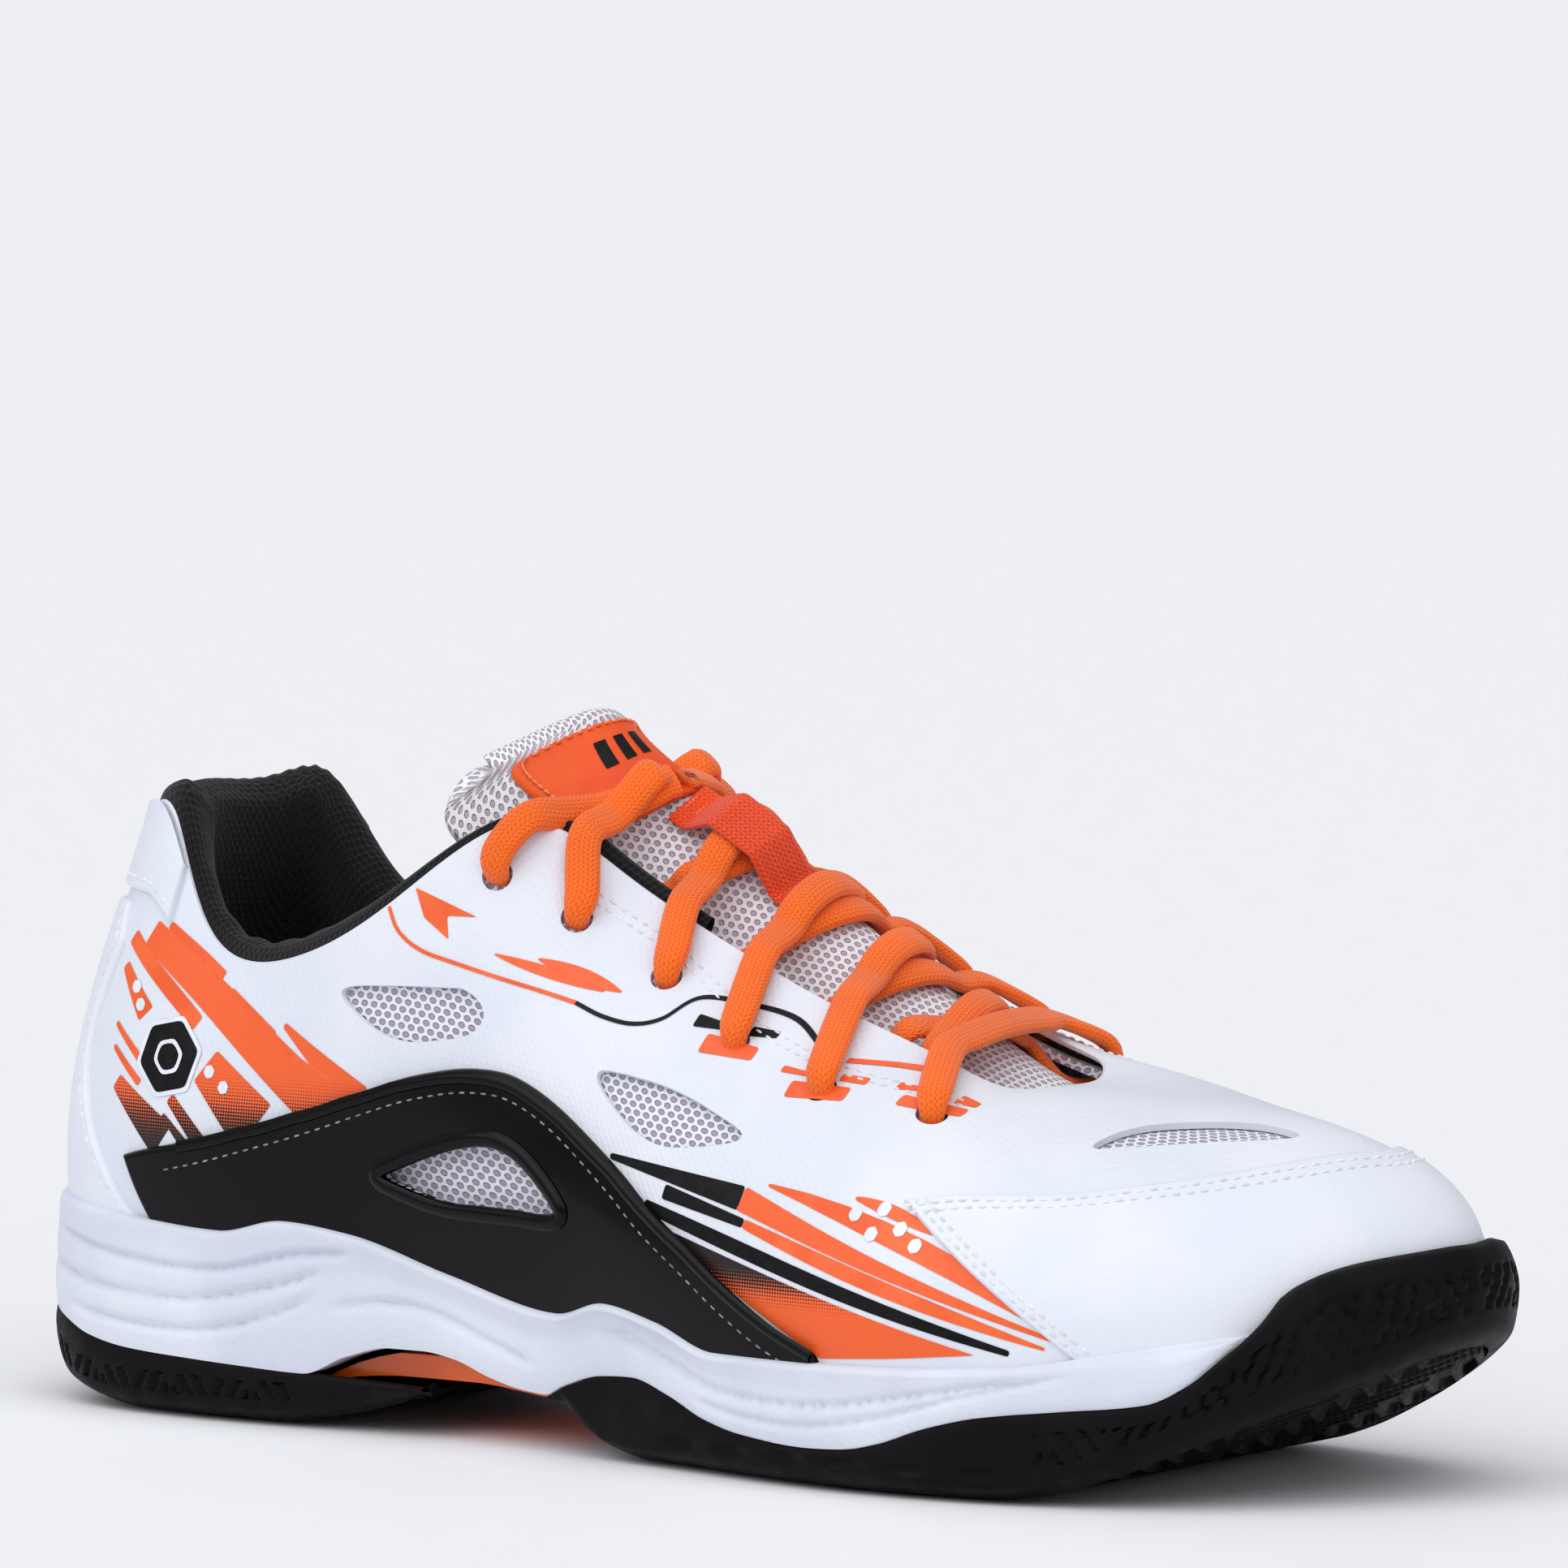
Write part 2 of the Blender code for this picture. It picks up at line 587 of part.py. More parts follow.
def eyelets():
    """Every eyelet's (side, number, u, t), from the collar down."""
    for number, (u, t) in enumerate(LATERAL_EYELETS, start=1):
        yield "lateral", number, u, t
    for number, (u, t) in enumerate(MEDIAL_EYELETS, start=1):
        yield "medial", number, TURN - u, t


def eyelet_cutters():
    return [
        bore_cutter(f"cut_eyelet_{side}_{number}", u, t, EYELET_BORE, (-7.0, 3.0))
        for side, number, u, t in eyelets()
    ]


def overlay(name, low, high, columns, rows, distances, finish):
    """A piece laid over the shell between a low and a high edge, each a few (u, t) places."""
    f = np.linspace(0, 1, columns)
    low = open_curve(low, f * (len(low) - 1))
    high = open_curve(high, f * (len(high) - 1))
    u, t = between(low, high, rows)
    return layer(name, u, t, distances, finish)


def rim_places(u):
    """Places just above the midsole's lip."""
    u = np.asarray(u, float)
    z = height(RIM, upper(u, 0 * u)[:, 0]) + 0.7
    return np.stack([u, rib_share(u, z)], axis=1)


SADDLE_TOP = (
    (31, 44.5), (45, 47.6), (58.6, 50.8), (70, 54), (81.7, 57.8), (92, 61.2), (101, 63.3), (109.7, 64.2),
    (118.4, 63), (129.5, 57.5), (141.8, 49.7), (150.2, 43.6), (160.4, 37.5), (170.2, 31.3), (179.5, 26.2),
    (189, 22.2),
)


def make_saddle(name, side, finish):
    high = elevation(SADDLE_TOP, side)
    ends = (high[0][0], high[-1][0])
    lean = 0.36 if side is LATERAL else -0.36  # the rear end slopes forward going down
    low = rim_places(np.linspace(ends[0] + lean, ends[1] + lean * 0.1, len(SADDLE_TOP)))
    return overlay(name, low, high, 33, 5, (GAP, 1.9), finish)


def make_toe_cap(finish):
    lateral_high = (
        (10.15, 0.52), (10.5, 0.545), (10.92, 0.55), (11.57, 0.535), (12.07, 0.53), (12.67, 0.565),
    )
    medial_high = [(TURN - u, t) for u, t in reversed(lateral_high)]
    high = [*lateral_high, (TOE, 0.565), *medial_high]
    spread = np.linspace(11.15, TURN - 11.15, len(high))
    low = rim_places(spread)
    return overlay("toe_cap", low, high, 31, 5, (2 * GAP, 1.5), finish)


def make_heel_counter(finish):
    """The smooth panel that wraps the heel, from the midsole up to the tab."""
    low = rim_places(np.linspace(2.72, -2.72, 9))
    lateral_high = ((1.62, 0.76), (1.35, 0.765), (1.0, 0.77), (0.5, 0.775))
    high = [*lateral_high, (0.0, 0.78), *((-u, t) for u, t in reversed(lateral_high))]
    f = np.linspace(0, 1, 21)
    low = open_curve(low, f * 8)
    high = open_curve(high, f * 8)
    share = np.linspace(0, 1, 7)[None, :]
    waist = 0.42 * np.sin(np.pi * np.clip(share * 1.15, 0, 1))  # the side edges curve inward
    u = low[:, :1] * (1 - share) + high[:, :1] * share
    u = u * (1 - waist * np.abs(low[:, :1]) / 2.72 * 0.62)
    t = low[:, 1:] * (1 - share) + high[:, 1:] * share
    return layer("heel_counter", u, t, (2 * GAP, 1.5), finish)


def make_heel_tab(finish):
    """The folded tab over the back of the collar."""
    lateral_low = ((1.62, 0.79), (1.0, 0.80), (0.5, 0.805))
    medial_low = [(-u, t) for u, t in reversed(lateral_low)]
    low = [(2.45, 0.845), (2.1, 0.82), *lateral_low, (0.0, 0.81), *medial_low]
    low += [(-2.1, 0.82), (-2.45, 0.845)]
    spread = np.linspace(2.45, -2.45, len(low))
    high = [(u, 0.995) for u in spread]
    return overlay("heel_tab", low, high, 25, 5, (GAP, 1.5), finish)


def collar_thickness(u):
    """1 at the padded heel, less where only the bound edge runs to the laces."""
    near = np.abs(((u + TOE) % TURN) - TOE)
    f = np.clip((near - 4.2) / 2.0, 0, 1)
    return 1 - 0.6 * f * f * (3 - 2 * f)


def collar_faces(u):
    """The collar lining's visible face at each u: over the rolled top edge and down inside."""
    k = collar_thickness(u)
    one = 1 + 0 * u
    return np.stack(
        [
            wall(u, one, -0.2, 1.0),
            wall(u, one, -0.9 * k - 0.2, 2.4 * k + 0.5),
            wall(u, one, -3.4 * k, 3.9 * k + 0.4),
            wall(u, one, -6.4 * k, 3.0 * k + 0.2),
            wall(u, one, -8.6 * k - 0.6, 0.0),
            wall(u, 0.86 * one, -8.8 * k - 1.6),
            wall(u, 0.66 * one, -6.4 * k - 2.2),
            wall(u, 0.42 * one, -1.2 * k - 5.0),
            wall(u, 0.22 * one, -5.6),
            wall(u, 0.06 * one, -5.5),
        ],
        axis=1,
    )


COLLAR_END = 19  # stations from the heel to where the lining passes under the laces


def make_collar_lining(finish):
    u = np.arange(COLLAR_END, -COLLAR_END - 1, -1) * STEP
    face = collar_faces(u)
    normals = grid_normals(face)
    return sheet("collar_lining", face - 0.9 * normals, face, finish)


def make_collar_foam(finish):
    u = np.arange(17, -18, -1) * STEP
    face = collar_faces(u)
    inner = face - 1.3 * grid_normals(face)
    one = 1 + 0 * u
    outer = [wall(u, share * one, -3.0) for share in (1.0, 0.86, 0.7)]
    outer.append(wall(u, 0.62 * one, -4.2))
    section = [inner[:, k] for k in (2, 3, 4, 5, 6)]
    stack = np.stack([*section, *reversed(outer)], axis=1)
    return ring_of_sections("collar_foam", stack, finish, closed=False)


def make_collar_tail(name, places, finish):
    """The bound edge's tail, which runs on under the laces to a cut end."""
    u = np.linspace(*places, 5)
    rises = np.array([-1.6, -0.2, 1.2, 2.6])
    grid = np.stack([wall(u, 1 + 0 * u, -3.8 - 0.15 * rise, rise) for rise in rises], axis=1)
    normals = outward(u, 1 + 0 * u)[:, None]
    return sheet(name, grid - 0.8 * normals, grid, finish)


# ---------------------------------------------------------------- tongue and lacing


def tongue_rows():
    """Rows from the vamp up: lateral edge, crown, medial edge of the tongue's outer face."""
    sides = (
        (10.75, 0.93, -7.6), (10.15, 0.9, -9.8), (9.35, 0.87, -10.4), (8.35, 0.86, -10.6),
        (7.45, 0.86, -10.6), (6.75, 0.87, -10.4),
    )
    crowns = (
        (203, 4, 61.2), (190, 5, 67.6), (172, 6, 78.4), (152, 6, 91.8), (134, 5, 104), (120, 3.5, 112.3),
    )
    rows = [((213, -6, 55), (217, 3.5, 55.5), (212, 12, 55.5))]
    for (u, t, distance), crown in zip(sides, crowns):
        rows.append((wall(u, t, distance), crown, wall(TURN - u, t, distance)))
    rows.append(((94.5, -25, 104), (110.5, 2, 118.8), (98.5, 25, 108)))
    rows.append(((95.5, -23, 111), (107, 2, 122), (99, 24, 115.5)))
    return np.array(rows, float)


TONGUE_TOP = 8.0
TONGUE_THICKNESS = (1.6, 2.2, 2.6, 3, 4, 5, 6.5, 7.5, 5)


def tongue_face(v, a):
    """The tongue's outer face: v from the vamp to the top, a from -1 (lateral) to 1 (medial)."""
    rows = open_curve(tongue_rows(), v)
    a = np.asarray(a, float)[..., None]
    crown = np.clip(1 - a * a, 0, 1) ** 1.45
    side = (1 - crown) / 2
    return rows[..., 0, :] * (side - a / 2) + rows[..., 1, :] * crown + rows[..., 2, :] * (side + a / 2)


def tongue_normal(v, a):
    above = tongue_face(np.clip(v + 0.02, 0, TONGUE_TOP), a)
    along = above - tongue_face(np.clip(v - 0.02, 0, TONGUE_TOP), a)
    across = tongue_face(v, np.minimum(a + 0.02, 1)) - tongue_face(v, np.maximum(a - 0.02, -1))
    normal = np.cross(across, along)
    normal = normal / np.linalg.norm(normal, axis=-1, keepdims=True)
    return normal * np.sign(normal[..., 2:] + 1e-9)


def on_tongue(v, a, distance):
    v = np.asarray(v, float)
    a = np.asarray(a, float)
    return tongue_face(v, a) + tongue_normal(v, a) * np.asarray(distance + 0 * a)[..., None]


def make_tongue(finish):
    v, a = np.meshgrid(np.linspace(0, TONGUE_TOP, 21), np.linspace(-1, 1, 11), indexing="ij")
    thickness = np.interp(v, np.arange(9), TONGUE_THICKNESS) * (1 - 0.45 * a**4)
    return sheet("tongue", on_tongue(v, a, -thickness), on_tongue(v, a, 0 * a), finish)


def make_tongue_label(finish):
    f, a = np.meshgrid(np.linspace(0, 1, 7), np.linspace(-0.62, 0.48, 9), indexing="ij")
    v = (5.55 + 1.9 * a * a) * (1 - f) + (7.45 + 0.45 * a * a) * f
    return sheet("tongue_label", on_tongue(v, a, GAP + 0 * a), on_tongue(v, a, 1.3 + 0 * a), finish)


def make_lace_keeper(finish):
    """A webbing loop sewn to the tongue above and below the strands that it holds."""
    v, a = np.meshgrid(np.linspace(4.3, 5.25, 13), np.linspace(-0.4, 0.04, 4), indexing="ij")
    f = (v - 4.3) / 0.95
    lift = GAP + 10.6 * np.clip(np.sin(np.pi * f) * 1.25, 0, 1) ** 1.5
    return sheet("lace_keeper", on_tongue(v, a, lift), on_tongue(v, a, lift + 1.1), finish)


UNDER_WALL = -7.0  # the lace's middle line beneath the eyestay
OVER_WALL = 2.5  # and on top of it


def eyelet_point(side, number, distance):
    """A point on an eyelet's axis; side is -1 lateral and 1 medial."""
    u, t = (LATERAL_EYELETS if side < 0 else MEDIAL_EYELETS)[number - 1]
    return wall(u if side < 0 else TURN - u, t, distance)


def throat_point(side, u, distance, rise):
    return wall(u if side < 0 else TURN - u, 0.999, distance, rise)


def crossing(start, end, lift):
    """Points of a strand between two edges, arched over the tongue's crown."""
    shares = (0.2, 0.4, 0.6, 0.8)
    arch = np.array([0.25, 0, 1.0]) * lift
    return [start * (1 - f) + end * f + arch * np.sin(np.pi * f) for f in shares]


def strand(side, number, lift):
    """Out of an eyelet, across the tongue and under the far edge, ready for the next eyelet up."""
    here, above = LATERAL_EYELETS[number - 1][0], LATERAL_EYELETS[number - 2][0]
    dive = above + (0.5 if side > 0 else 0.3) * (here - above)
    out = [eyelet_point(side, number, d) for d in (UNDER_WALL, -2.2, OVER_WALL)]
    start = throat_point(side, here - 0.15, OVER_WALL, 0.5)
    end = throat_point(-side, dive, -6.4, 4.2)
    under = throat_point(-side, dive - 0.12, UNDER_WALL, -1.5)
    return [*out, start, *crossing(start, end, lift), end, under]


def tied_end(side):
    """The last strand: from the second eyelet over to the first one opposite, and tucked away."""
    lift = 7.5 if side < 0 else 3.2
    out = [eyelet_point(side, 2, d) for d in (UNDER_WALL, -2.2, OVER_WALL)]
    start = throat_point(side, LATERAL_EYELETS[1][0] - 0.2, OVER_WALL, 0.5)
    end = throat_point(-side, 6.1, OVER_WALL + 0.6, 0.0)
    into = [eyelet_point(-side, 1, d) for d in (OVER_WALL, -2.2, -6.5)]
    for u, t, distance in ((5.86, 0.8, -8.6), (5.8, 0.62, -8.6), (5.8, 0.46, -9.0)):
        into.append(wall(u if side > 0 else TURN - u, t, distance))
    return [*out, start, *crossing(start, end, lift), end, *into]


def first_bar():
    """The straight bar over the foot of the throat, with both ends going down their eyelets."""
    lateral = [eyelet_point(-1, 6, d) for d in (UNDER_WALL, -2.2, OVER_WALL)]
    medial = [eyelet_point(1, 6, d) for d in (OVER_WALL, -2.2, UNDER_WALL)]
    start = throat_point(-1, 10.2, OVER_WALL + 0.8, 0)
    end = throat_point(1, 9.95, OVER_WALL + 0.8, 0)
    return [*lateral, start, *crossing(start, end, 2.5), end, *medial]


def first_cross(side, lift):
    """From under an end of the bar, out of the throat's edge and under the other one."""
    start = throat_point(side, 10.0, -2.5, 4.5)
    end = throat_point(-side, 9.65, -1.5, 5.0)
    under = throat_point(-side, 9.5, UNDER_WALL, -1.0)
    return [throat_point(side, 10.15, UNDER_WALL, -1.0), start, *crossing(start, end, lift), end, under]


def lace_route():
    """The lace's middle line from one tucked end to the other, laced criss-cross."""
    upward = [*first_cross(-1, 6.0), *strand(1, 5, 3.0), *strand(-1, 4, 7.5)]
    upward += [*strand(1, 3, 3.0), *tied_end(-1)]
    other = [*first_cross(1, 1.0), *strand(-1, 5, 7.5), *strand(1, 4, 3.0)]
    other += [*strand(-1, 3, 7.5), *tied_end(1)]
    return [*reversed(other), *reversed(first_bar()), *upward]


def clear_of_tongue(points):
    """Points moved outward until a lace along them lies on the tongue or on its label."""
    v, a = np.meshgrid(np.linspace(0, TONGUE_TOP, 81), np.linspace(-1, 1, 41), indexing="ij")
    face = tongue_face(v, a).reshape(-1, 3)
    normals = tongue_normal(v, a).reshape(-1, 3)
    sewn_on = (np.abs(a) < 0.7) * (3.2 * (v > 5.2) + 1.6 * ((v > 3.9) & (v < 4.4)))
    least = LACE_WIDTH / 2 + 1.0 + sewn_on
    moved = []
    for point in points:
        near = ((face - point) ** 2).sum(axis=1).argmin()
        lack = least.flat[near] - (point - face[near]) @ normals[near]
        beside = abs(a.flat[near]) > 0.84  # past the tongue's edge, or tucked in beneath it
        moved.append(point + normals[near] * (0.0 if beside or lack > 14 else max(lack, 0.0)))
    return np.array(moved)


def make_lace(finish):
    knots = np.array(lace_route())
    place = np.linspace(0, len(knots) - 1, int(1.5 * len(knots)))
    line = clear_of_tongue(open_curve(knots, place))
    data = bpy.data.curves.new("lace", "CURVE")
    data.dimensions = "3D"
    spline = data.splines.new("POLY")
    spline.points.add(len(line) - 1)
    for point, co in zip(spline.points, (line - MIDDLE) * MM):
        point.co = (*co, 1)
    data.bevel_depth = LACE_WIDTH / 2 * MM
    data.bevel_resolution = 1
    data.use_fill_caps = True
    data.materials.append(finish)
    made = bpy.data.objects.new("lace", data)
    bpy.context.scene.collection.objects.link(made)
    return made


def hinge_axis(name, x, z, pieces):
    """An empty on the middle of a hinge line across the shoe, which the moving pieces are parented to."""
    empty = bpy.data.objects.new(name, None)
    empty.empty_display_size = 0.02
    empty.location = (np.array([x, MIDDLE[1], z]) - MIDDLE) * MM
    bpy.context.scene.collection.objects.link(empty)
    bpy.context.view_layer.update()
    for piece in pieces:
        piece.parent = empty
        piece.matrix_parent_inverse = empty.matrix_world.inverted()


def clear_scene():
    for obj in list(bpy.data.objects):
        bpy.data.objects.remove(obj, do_unlink=True)


def main():
    clear_scene()
    material("cutter", (1, 0, 0), 0.5)
    white_leather = material("white_synthetic_leather", (0.86, 0.87, 0.90), 0.45)
    embossed = material("embossed_synthetic", (0.88, 0.89, 0.92), 0.5)
    white_mesh = material("white_mesh", (0.80, 0.79, 0.84), 0.9)
    black_mesh = material("black_mesh", (0.01, 0.01, 0.011), 0.9)
    gloss_black = material("black_film", (0.006, 0.006, 0.008), 0.15)
    foam_white = material("midsole_foam", (0.87, 0.88, 0.93), 0.55)
    rubber = material("black_rubber", (0.012, 0.012, 0.014), 0.6)
    orange_plate = material("orange_plate", (0.9, 0.16, 0.02), 0.35)
    orange_film = material("orange_film", (0.9, 0.14, 0.015), 0.4)
    webbing = material("orange_webbing", (0.85, 0.1, 0.01), 0.8)
    board = material("board_fibre", (0.55, 0.5, 0.42), 0.9)
    foam_grey = material("soft_foam", (0.35, 0.35, 0.36), 0.9)
    sock = material("sockliner_textile", (0.03, 0.03, 0.035), 0.9)

    make_midsole(foam_white)
    make_outsole_heel(rubber)
    make_outsole_forefoot(rubber)
    make_shank_plate(orange_plate)
    make_strobel_board(board)
    make_sockliner(sock)

    shell = full_layer("upper_shell", (0, 1), OUTER_SHELL, embossed)
    mesh = full_layer("mesh_layer", (FOOT_OF_LAYERS, 0.97), MESH_LAYER, white_mesh)
    lining = part_layer("vamp_lining", (21, STATIONS - 21), (0.05, 0.9), LINING, white_mesh)
    puff = part_layer("toe_puff", (34, STATIONS - 34), (0.05, 0.5), BACKING, board)
    part_layer("heel_stiffener", (-11, 11), (FOOT_OF_LAYERS, 0.5), STIFFENER, board)
    backings = [
        part_layer("eyestay_backing_lateral", (20, 33), (0.7, 0.96), BACKING, board),
        part_layer("eyestay_backing_medial", (STATIONS - 33, STATIONS - 20), (0.7, 0.96), BACKING, board),
    ]
    bores = eyelet_cutters()
    cut(shell, window_cutters() + bores)
    for piece in (mesh, lining, *backings):
        cut(piece, bores)

    windows = {cutter.name: cutter for cutter in bpy.data.objects if cutter.name.startswith("cut_saddle")}
    for side_name, side in (("lateral", LATERAL), ("medial", MEDIAL)):
        saddle = make_saddle(f"saddle_{side_name}", side, gloss_black)
        cut(saddle, [windows[f"cut_saddle_{side_name}"]])
    cap = make_toe_cap(white_leather)
    make_heel_counter(white_leather)
    make_heel_tab(white_leather)
    cut(make_collar_lining(black_mesh), [cutter for cutter in bores if cutter.name.endswith("_1")])
    make_collar_foam(foam_grey)
    make_collar_tail("collar_tail_lateral", (6.45, 6.88), black_mesh)
    make_collar_tail("collar_tail_medial", (TURN - 6.45, TURN - 6.86), black_mesh)
    make_tongue(white_mesh)
    label = make_tongue_label(orange_film)
    make_lace_keeper(webbing)
    make_lace(webbing)
    hinge_axis("toe_flex_axis", *FLEX_LINE, (cap, puff))
    hinge_axis("tongue_fold_axis", *TONGUE_LINE, (label,))


main()
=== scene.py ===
# # Lesson: dressing a badminton court shoe
#
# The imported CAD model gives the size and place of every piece. The cells below build the finished
# surface of each piece over it: synthetic skin, mesh, film, foam, rubber, laces, stitches and prints.
# Lengths in the cells are millimetres in the shoe's own frame (x heel to toe, y to the medial side,
# z up), and to_metres moves them into the frame of the CAD model.

# %% Load the frame
import json

import bmesh
import bpy
import numpy as np
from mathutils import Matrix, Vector
from mathutils.geometry import delaunay_2d_cdt

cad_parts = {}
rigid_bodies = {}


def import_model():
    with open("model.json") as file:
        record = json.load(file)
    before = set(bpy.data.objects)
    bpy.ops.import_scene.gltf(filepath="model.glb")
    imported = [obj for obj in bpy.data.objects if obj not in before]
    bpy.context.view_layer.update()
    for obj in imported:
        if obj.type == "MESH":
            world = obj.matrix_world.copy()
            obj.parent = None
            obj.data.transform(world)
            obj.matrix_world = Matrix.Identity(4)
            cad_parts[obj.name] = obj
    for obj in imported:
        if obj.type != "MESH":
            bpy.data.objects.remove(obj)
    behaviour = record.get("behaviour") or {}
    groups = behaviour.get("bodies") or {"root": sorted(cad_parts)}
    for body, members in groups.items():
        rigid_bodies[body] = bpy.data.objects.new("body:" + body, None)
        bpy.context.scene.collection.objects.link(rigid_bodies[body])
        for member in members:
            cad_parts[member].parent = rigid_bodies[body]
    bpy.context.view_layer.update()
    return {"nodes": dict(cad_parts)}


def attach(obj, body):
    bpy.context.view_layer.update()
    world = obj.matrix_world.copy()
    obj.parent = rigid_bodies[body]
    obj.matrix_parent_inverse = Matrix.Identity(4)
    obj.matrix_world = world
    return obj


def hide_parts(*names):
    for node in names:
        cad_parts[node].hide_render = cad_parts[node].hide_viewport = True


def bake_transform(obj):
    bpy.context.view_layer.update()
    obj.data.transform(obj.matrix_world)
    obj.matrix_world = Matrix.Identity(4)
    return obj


for startup in list(bpy.data.objects):
    bpy.data.objects.remove(startup, do_unlink=True)
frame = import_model()
MIDDLE = np.array([143.14, -3.02, 0.0])  # the middle of the shoe's foot print, in mm


def to_metres(points):
    return (np.asarray(points, float) - MIDDLE) * 0.001


# %% [markdown]
# The camera comes first. The shoe is seen from its lateral side and a little from the front, from low
# down and far away, so verticals stay straight. The lens is long, as in a product studio.

# %% Camera
azimuth, elevation = np.radians(34.5), np.radians(4.5)
CAMERA_FAR = 2200.0
FRAMING_RIGHT, FRAMING_UP = -2.53, 62.06
level = np.array([np.sin(azimuth), -np.cos(azimuth), 0.0]) * np.cos(elevation)
back = level + np.array([0.0, 0.0, np.sin(elevation)])
right = np.array([np.cos(azimuth), np.sin(azimuth), 0.0])
up = np.cross(back, right)
aim = np.array([150.0, 0.0, 50.0]) + FRAMING_RIGHT * right + FRAMING_UP * up
lens = bpy.data.cameras.new("camera")
lens.lens = 294.86
lens.sensor_width = 36.0
lens.clip_end = 50.0
camera = bpy.data.objects.new("camera", lens)
camera.location = to_metres(aim + back * CAMERA_FAR)
camera.rotation_mode = "QUATERNION"
camera.rotation_quaternion = Vector(-back).to_track_quat("-Z", "Y")
bpy.context.scene.collection.objects.link(camera)
bpy.context.scene.camera = camera
print("camera at", [round(c, 3) for c in camera.location])

# %% [markdown]
# The upper is one lasted surface: every layer of it was pulled over the same wooden or plastic last.
# Ribs go once around the shoe, from the middle of the heel along the lateral side; each is a Bezier
# curve of four points, from the foot edge to the top edge. All the skins, films, panels, prints and
# stitches are placed on it by (u, t): u counts ribs around, t goes up the rib.

# %% The lasted surface
RIBS = (
    ((3, 0, 28), (-1, 0, 60), (14, 0, 78), (19.5, 0, 104)),
    ((8, -17, 28), (5, -21, 58), (17, -17, 80), (23.5, -15, 104)),
    ((22, -29, 27), (20, -34, 55), (30, -29, 78), (34, -23.5, 103)),
    ((42, -33, 26), (40, -39, 46), (44, -34, 66), (46, -28.5, 83)),
    ((65, -34, 25), (64, -40, 44), (66, -36, 62), (66, -32, 80.5)),
    ((88, -34, 24), (87, -40, 46), (88, -37, 70), (88, -33, 91.5)),
    ((112, -36, 20), (110, -43, 50), (108, -37, 80), (109, -25.5, 105.5)),
    ((133, -39, 17), (130, -46, 45), (125, -38, 78), (126, -17.5, 97)),
    ((156, -44, 15), (152, -51, 38), (146, -42, 68), (147, -16.5, 86)),
    ((181, -49, 14), (177, -56, 36), (169, -44, 62), (168, -16.5, 77)),
    ((208, -51, 15), (204, -58, 37), (193, -42, 60), (188, -16.5, 70)),
    ((235, -46, 18), (234, -53, 38), (216, -32, 59), (200, -13, 64.5)),
    ((260, -32, 22), (262, -38, 45), (239, -18, 61.5), (205, -6, 64)),
    ((278.5, 2, 26), (287, 2, 50), (269, 5, 61.5), (206.5, 3, 64)),
    ((266, 26, 24), (271, 31, 46.5), (249, 22, 62.5), (205.5, 10, 65)),
    ((248, 36, 19), (248, 42, 43), (228, 33, 63.5), (201, 16, 67)),
    ((226, 42, 16), (223, 49, 38), (206, 40, 62), (190, 19, 70)),
    ((200, 45, 15), (196, 52, 38), (184, 42, 65), (171, 20, 78)),
    ((174, 42, 16), (170, 49, 41), (160, 40, 71), (152, 20.5, 88)),
    ((147, 35, 18), (143, 42, 47), (136, 37, 81), (133, 21.5, 98.5)),
    ((119, 30, 21), (116, 38, 52), (112, 36, 84), (113, 26, 107)),
    ((91, 30, 24), (90, 37, 48), (90, 36, 72), (92, 32, 95)),
    ((66, 33, 25), (65, 39, 44), (66, 36, 64), (66, 32, 82)),
    ((42, 33, 26), (40, 38, 48), (45, 33, 70), (47, 27.5, 87)),
    ((22, 29, 27), (20, 34, 55), (30, 28, 80), (34, 24, 104)),
    ((8, 17, 28), (5, 21, 58), (17, 17, 80), (23.5, 15, 104)),
)
TURN = len(RIBS)
SOLE_EDGE = (
    (0, 0), (5, -20), (20, -33), (42, -38), (65, -38.5), (88, -37.5), (112, -38.5), (133, -42),
    (156, -47), (181, -53), (208, -55), (236, -50.5), (264, -36), (286.5, 2),
    (272.5, 30), (251, 40), (227, 46), (200, 49), (174, 46), (147, 39), (119, 34), (91, 34),
    (66, 36.5), (42, 37), (20, 33), (5, 20),
)
RIM = (
    (0, 36), (20, 35), (37, 33.7), (54, 32.8), (68, 35.4), (82, 34), (104, 28.5), (129, 23.8),
    (142, 26.6), (155, 24.6), (168, 20.6), (205, 21), (227, 22.4), (245, 25.6), (263, 28.6), (290, 31),
)


def hermite(knots, slopes, place, wrap):
    last = len(knots) - (1 if wrap else 2)
    start = np.clip(np.floor(place).astype(int), 0, last)
    end = (start + 1) % len(knots)
    f = (place - start).reshape(np.shape(place) + (1,) * (knots.ndim - 1))
    left = knots[start] * (1 + 2 * f) * (1 - f) ** 2 + slopes[start] * f * (1 - f) ** 2
    return left + knots[end] * f * f * (3 - 2 * f) + slopes[end] * f * f * (f - 1)


def closed_curve(rows, place):
    knots = np.asarray(rows, float)
    count = len(knots)
    ring = 4 * np.eye(count) + np.roll(np.eye(count), 1, 0) + np.roll(np.eye(count), -1, 0)
    pull = 3 * (np.roll(knots, -1, 0) - np.roll(knots, 1, 0)).reshape(count, -1)
    slopes = np.linalg.solve(ring, pull).reshape(knots.shape)
    return hermite(knots, slopes, np.asarray(place, float) % count, wrap=True)


def open_curve(rows, place):
    knots = np.asarray(rows, float)
    return hermite(knots, np.gradient(knots, axis=0), np.clip(place, 0, len(knots) - 1), wrap=False)


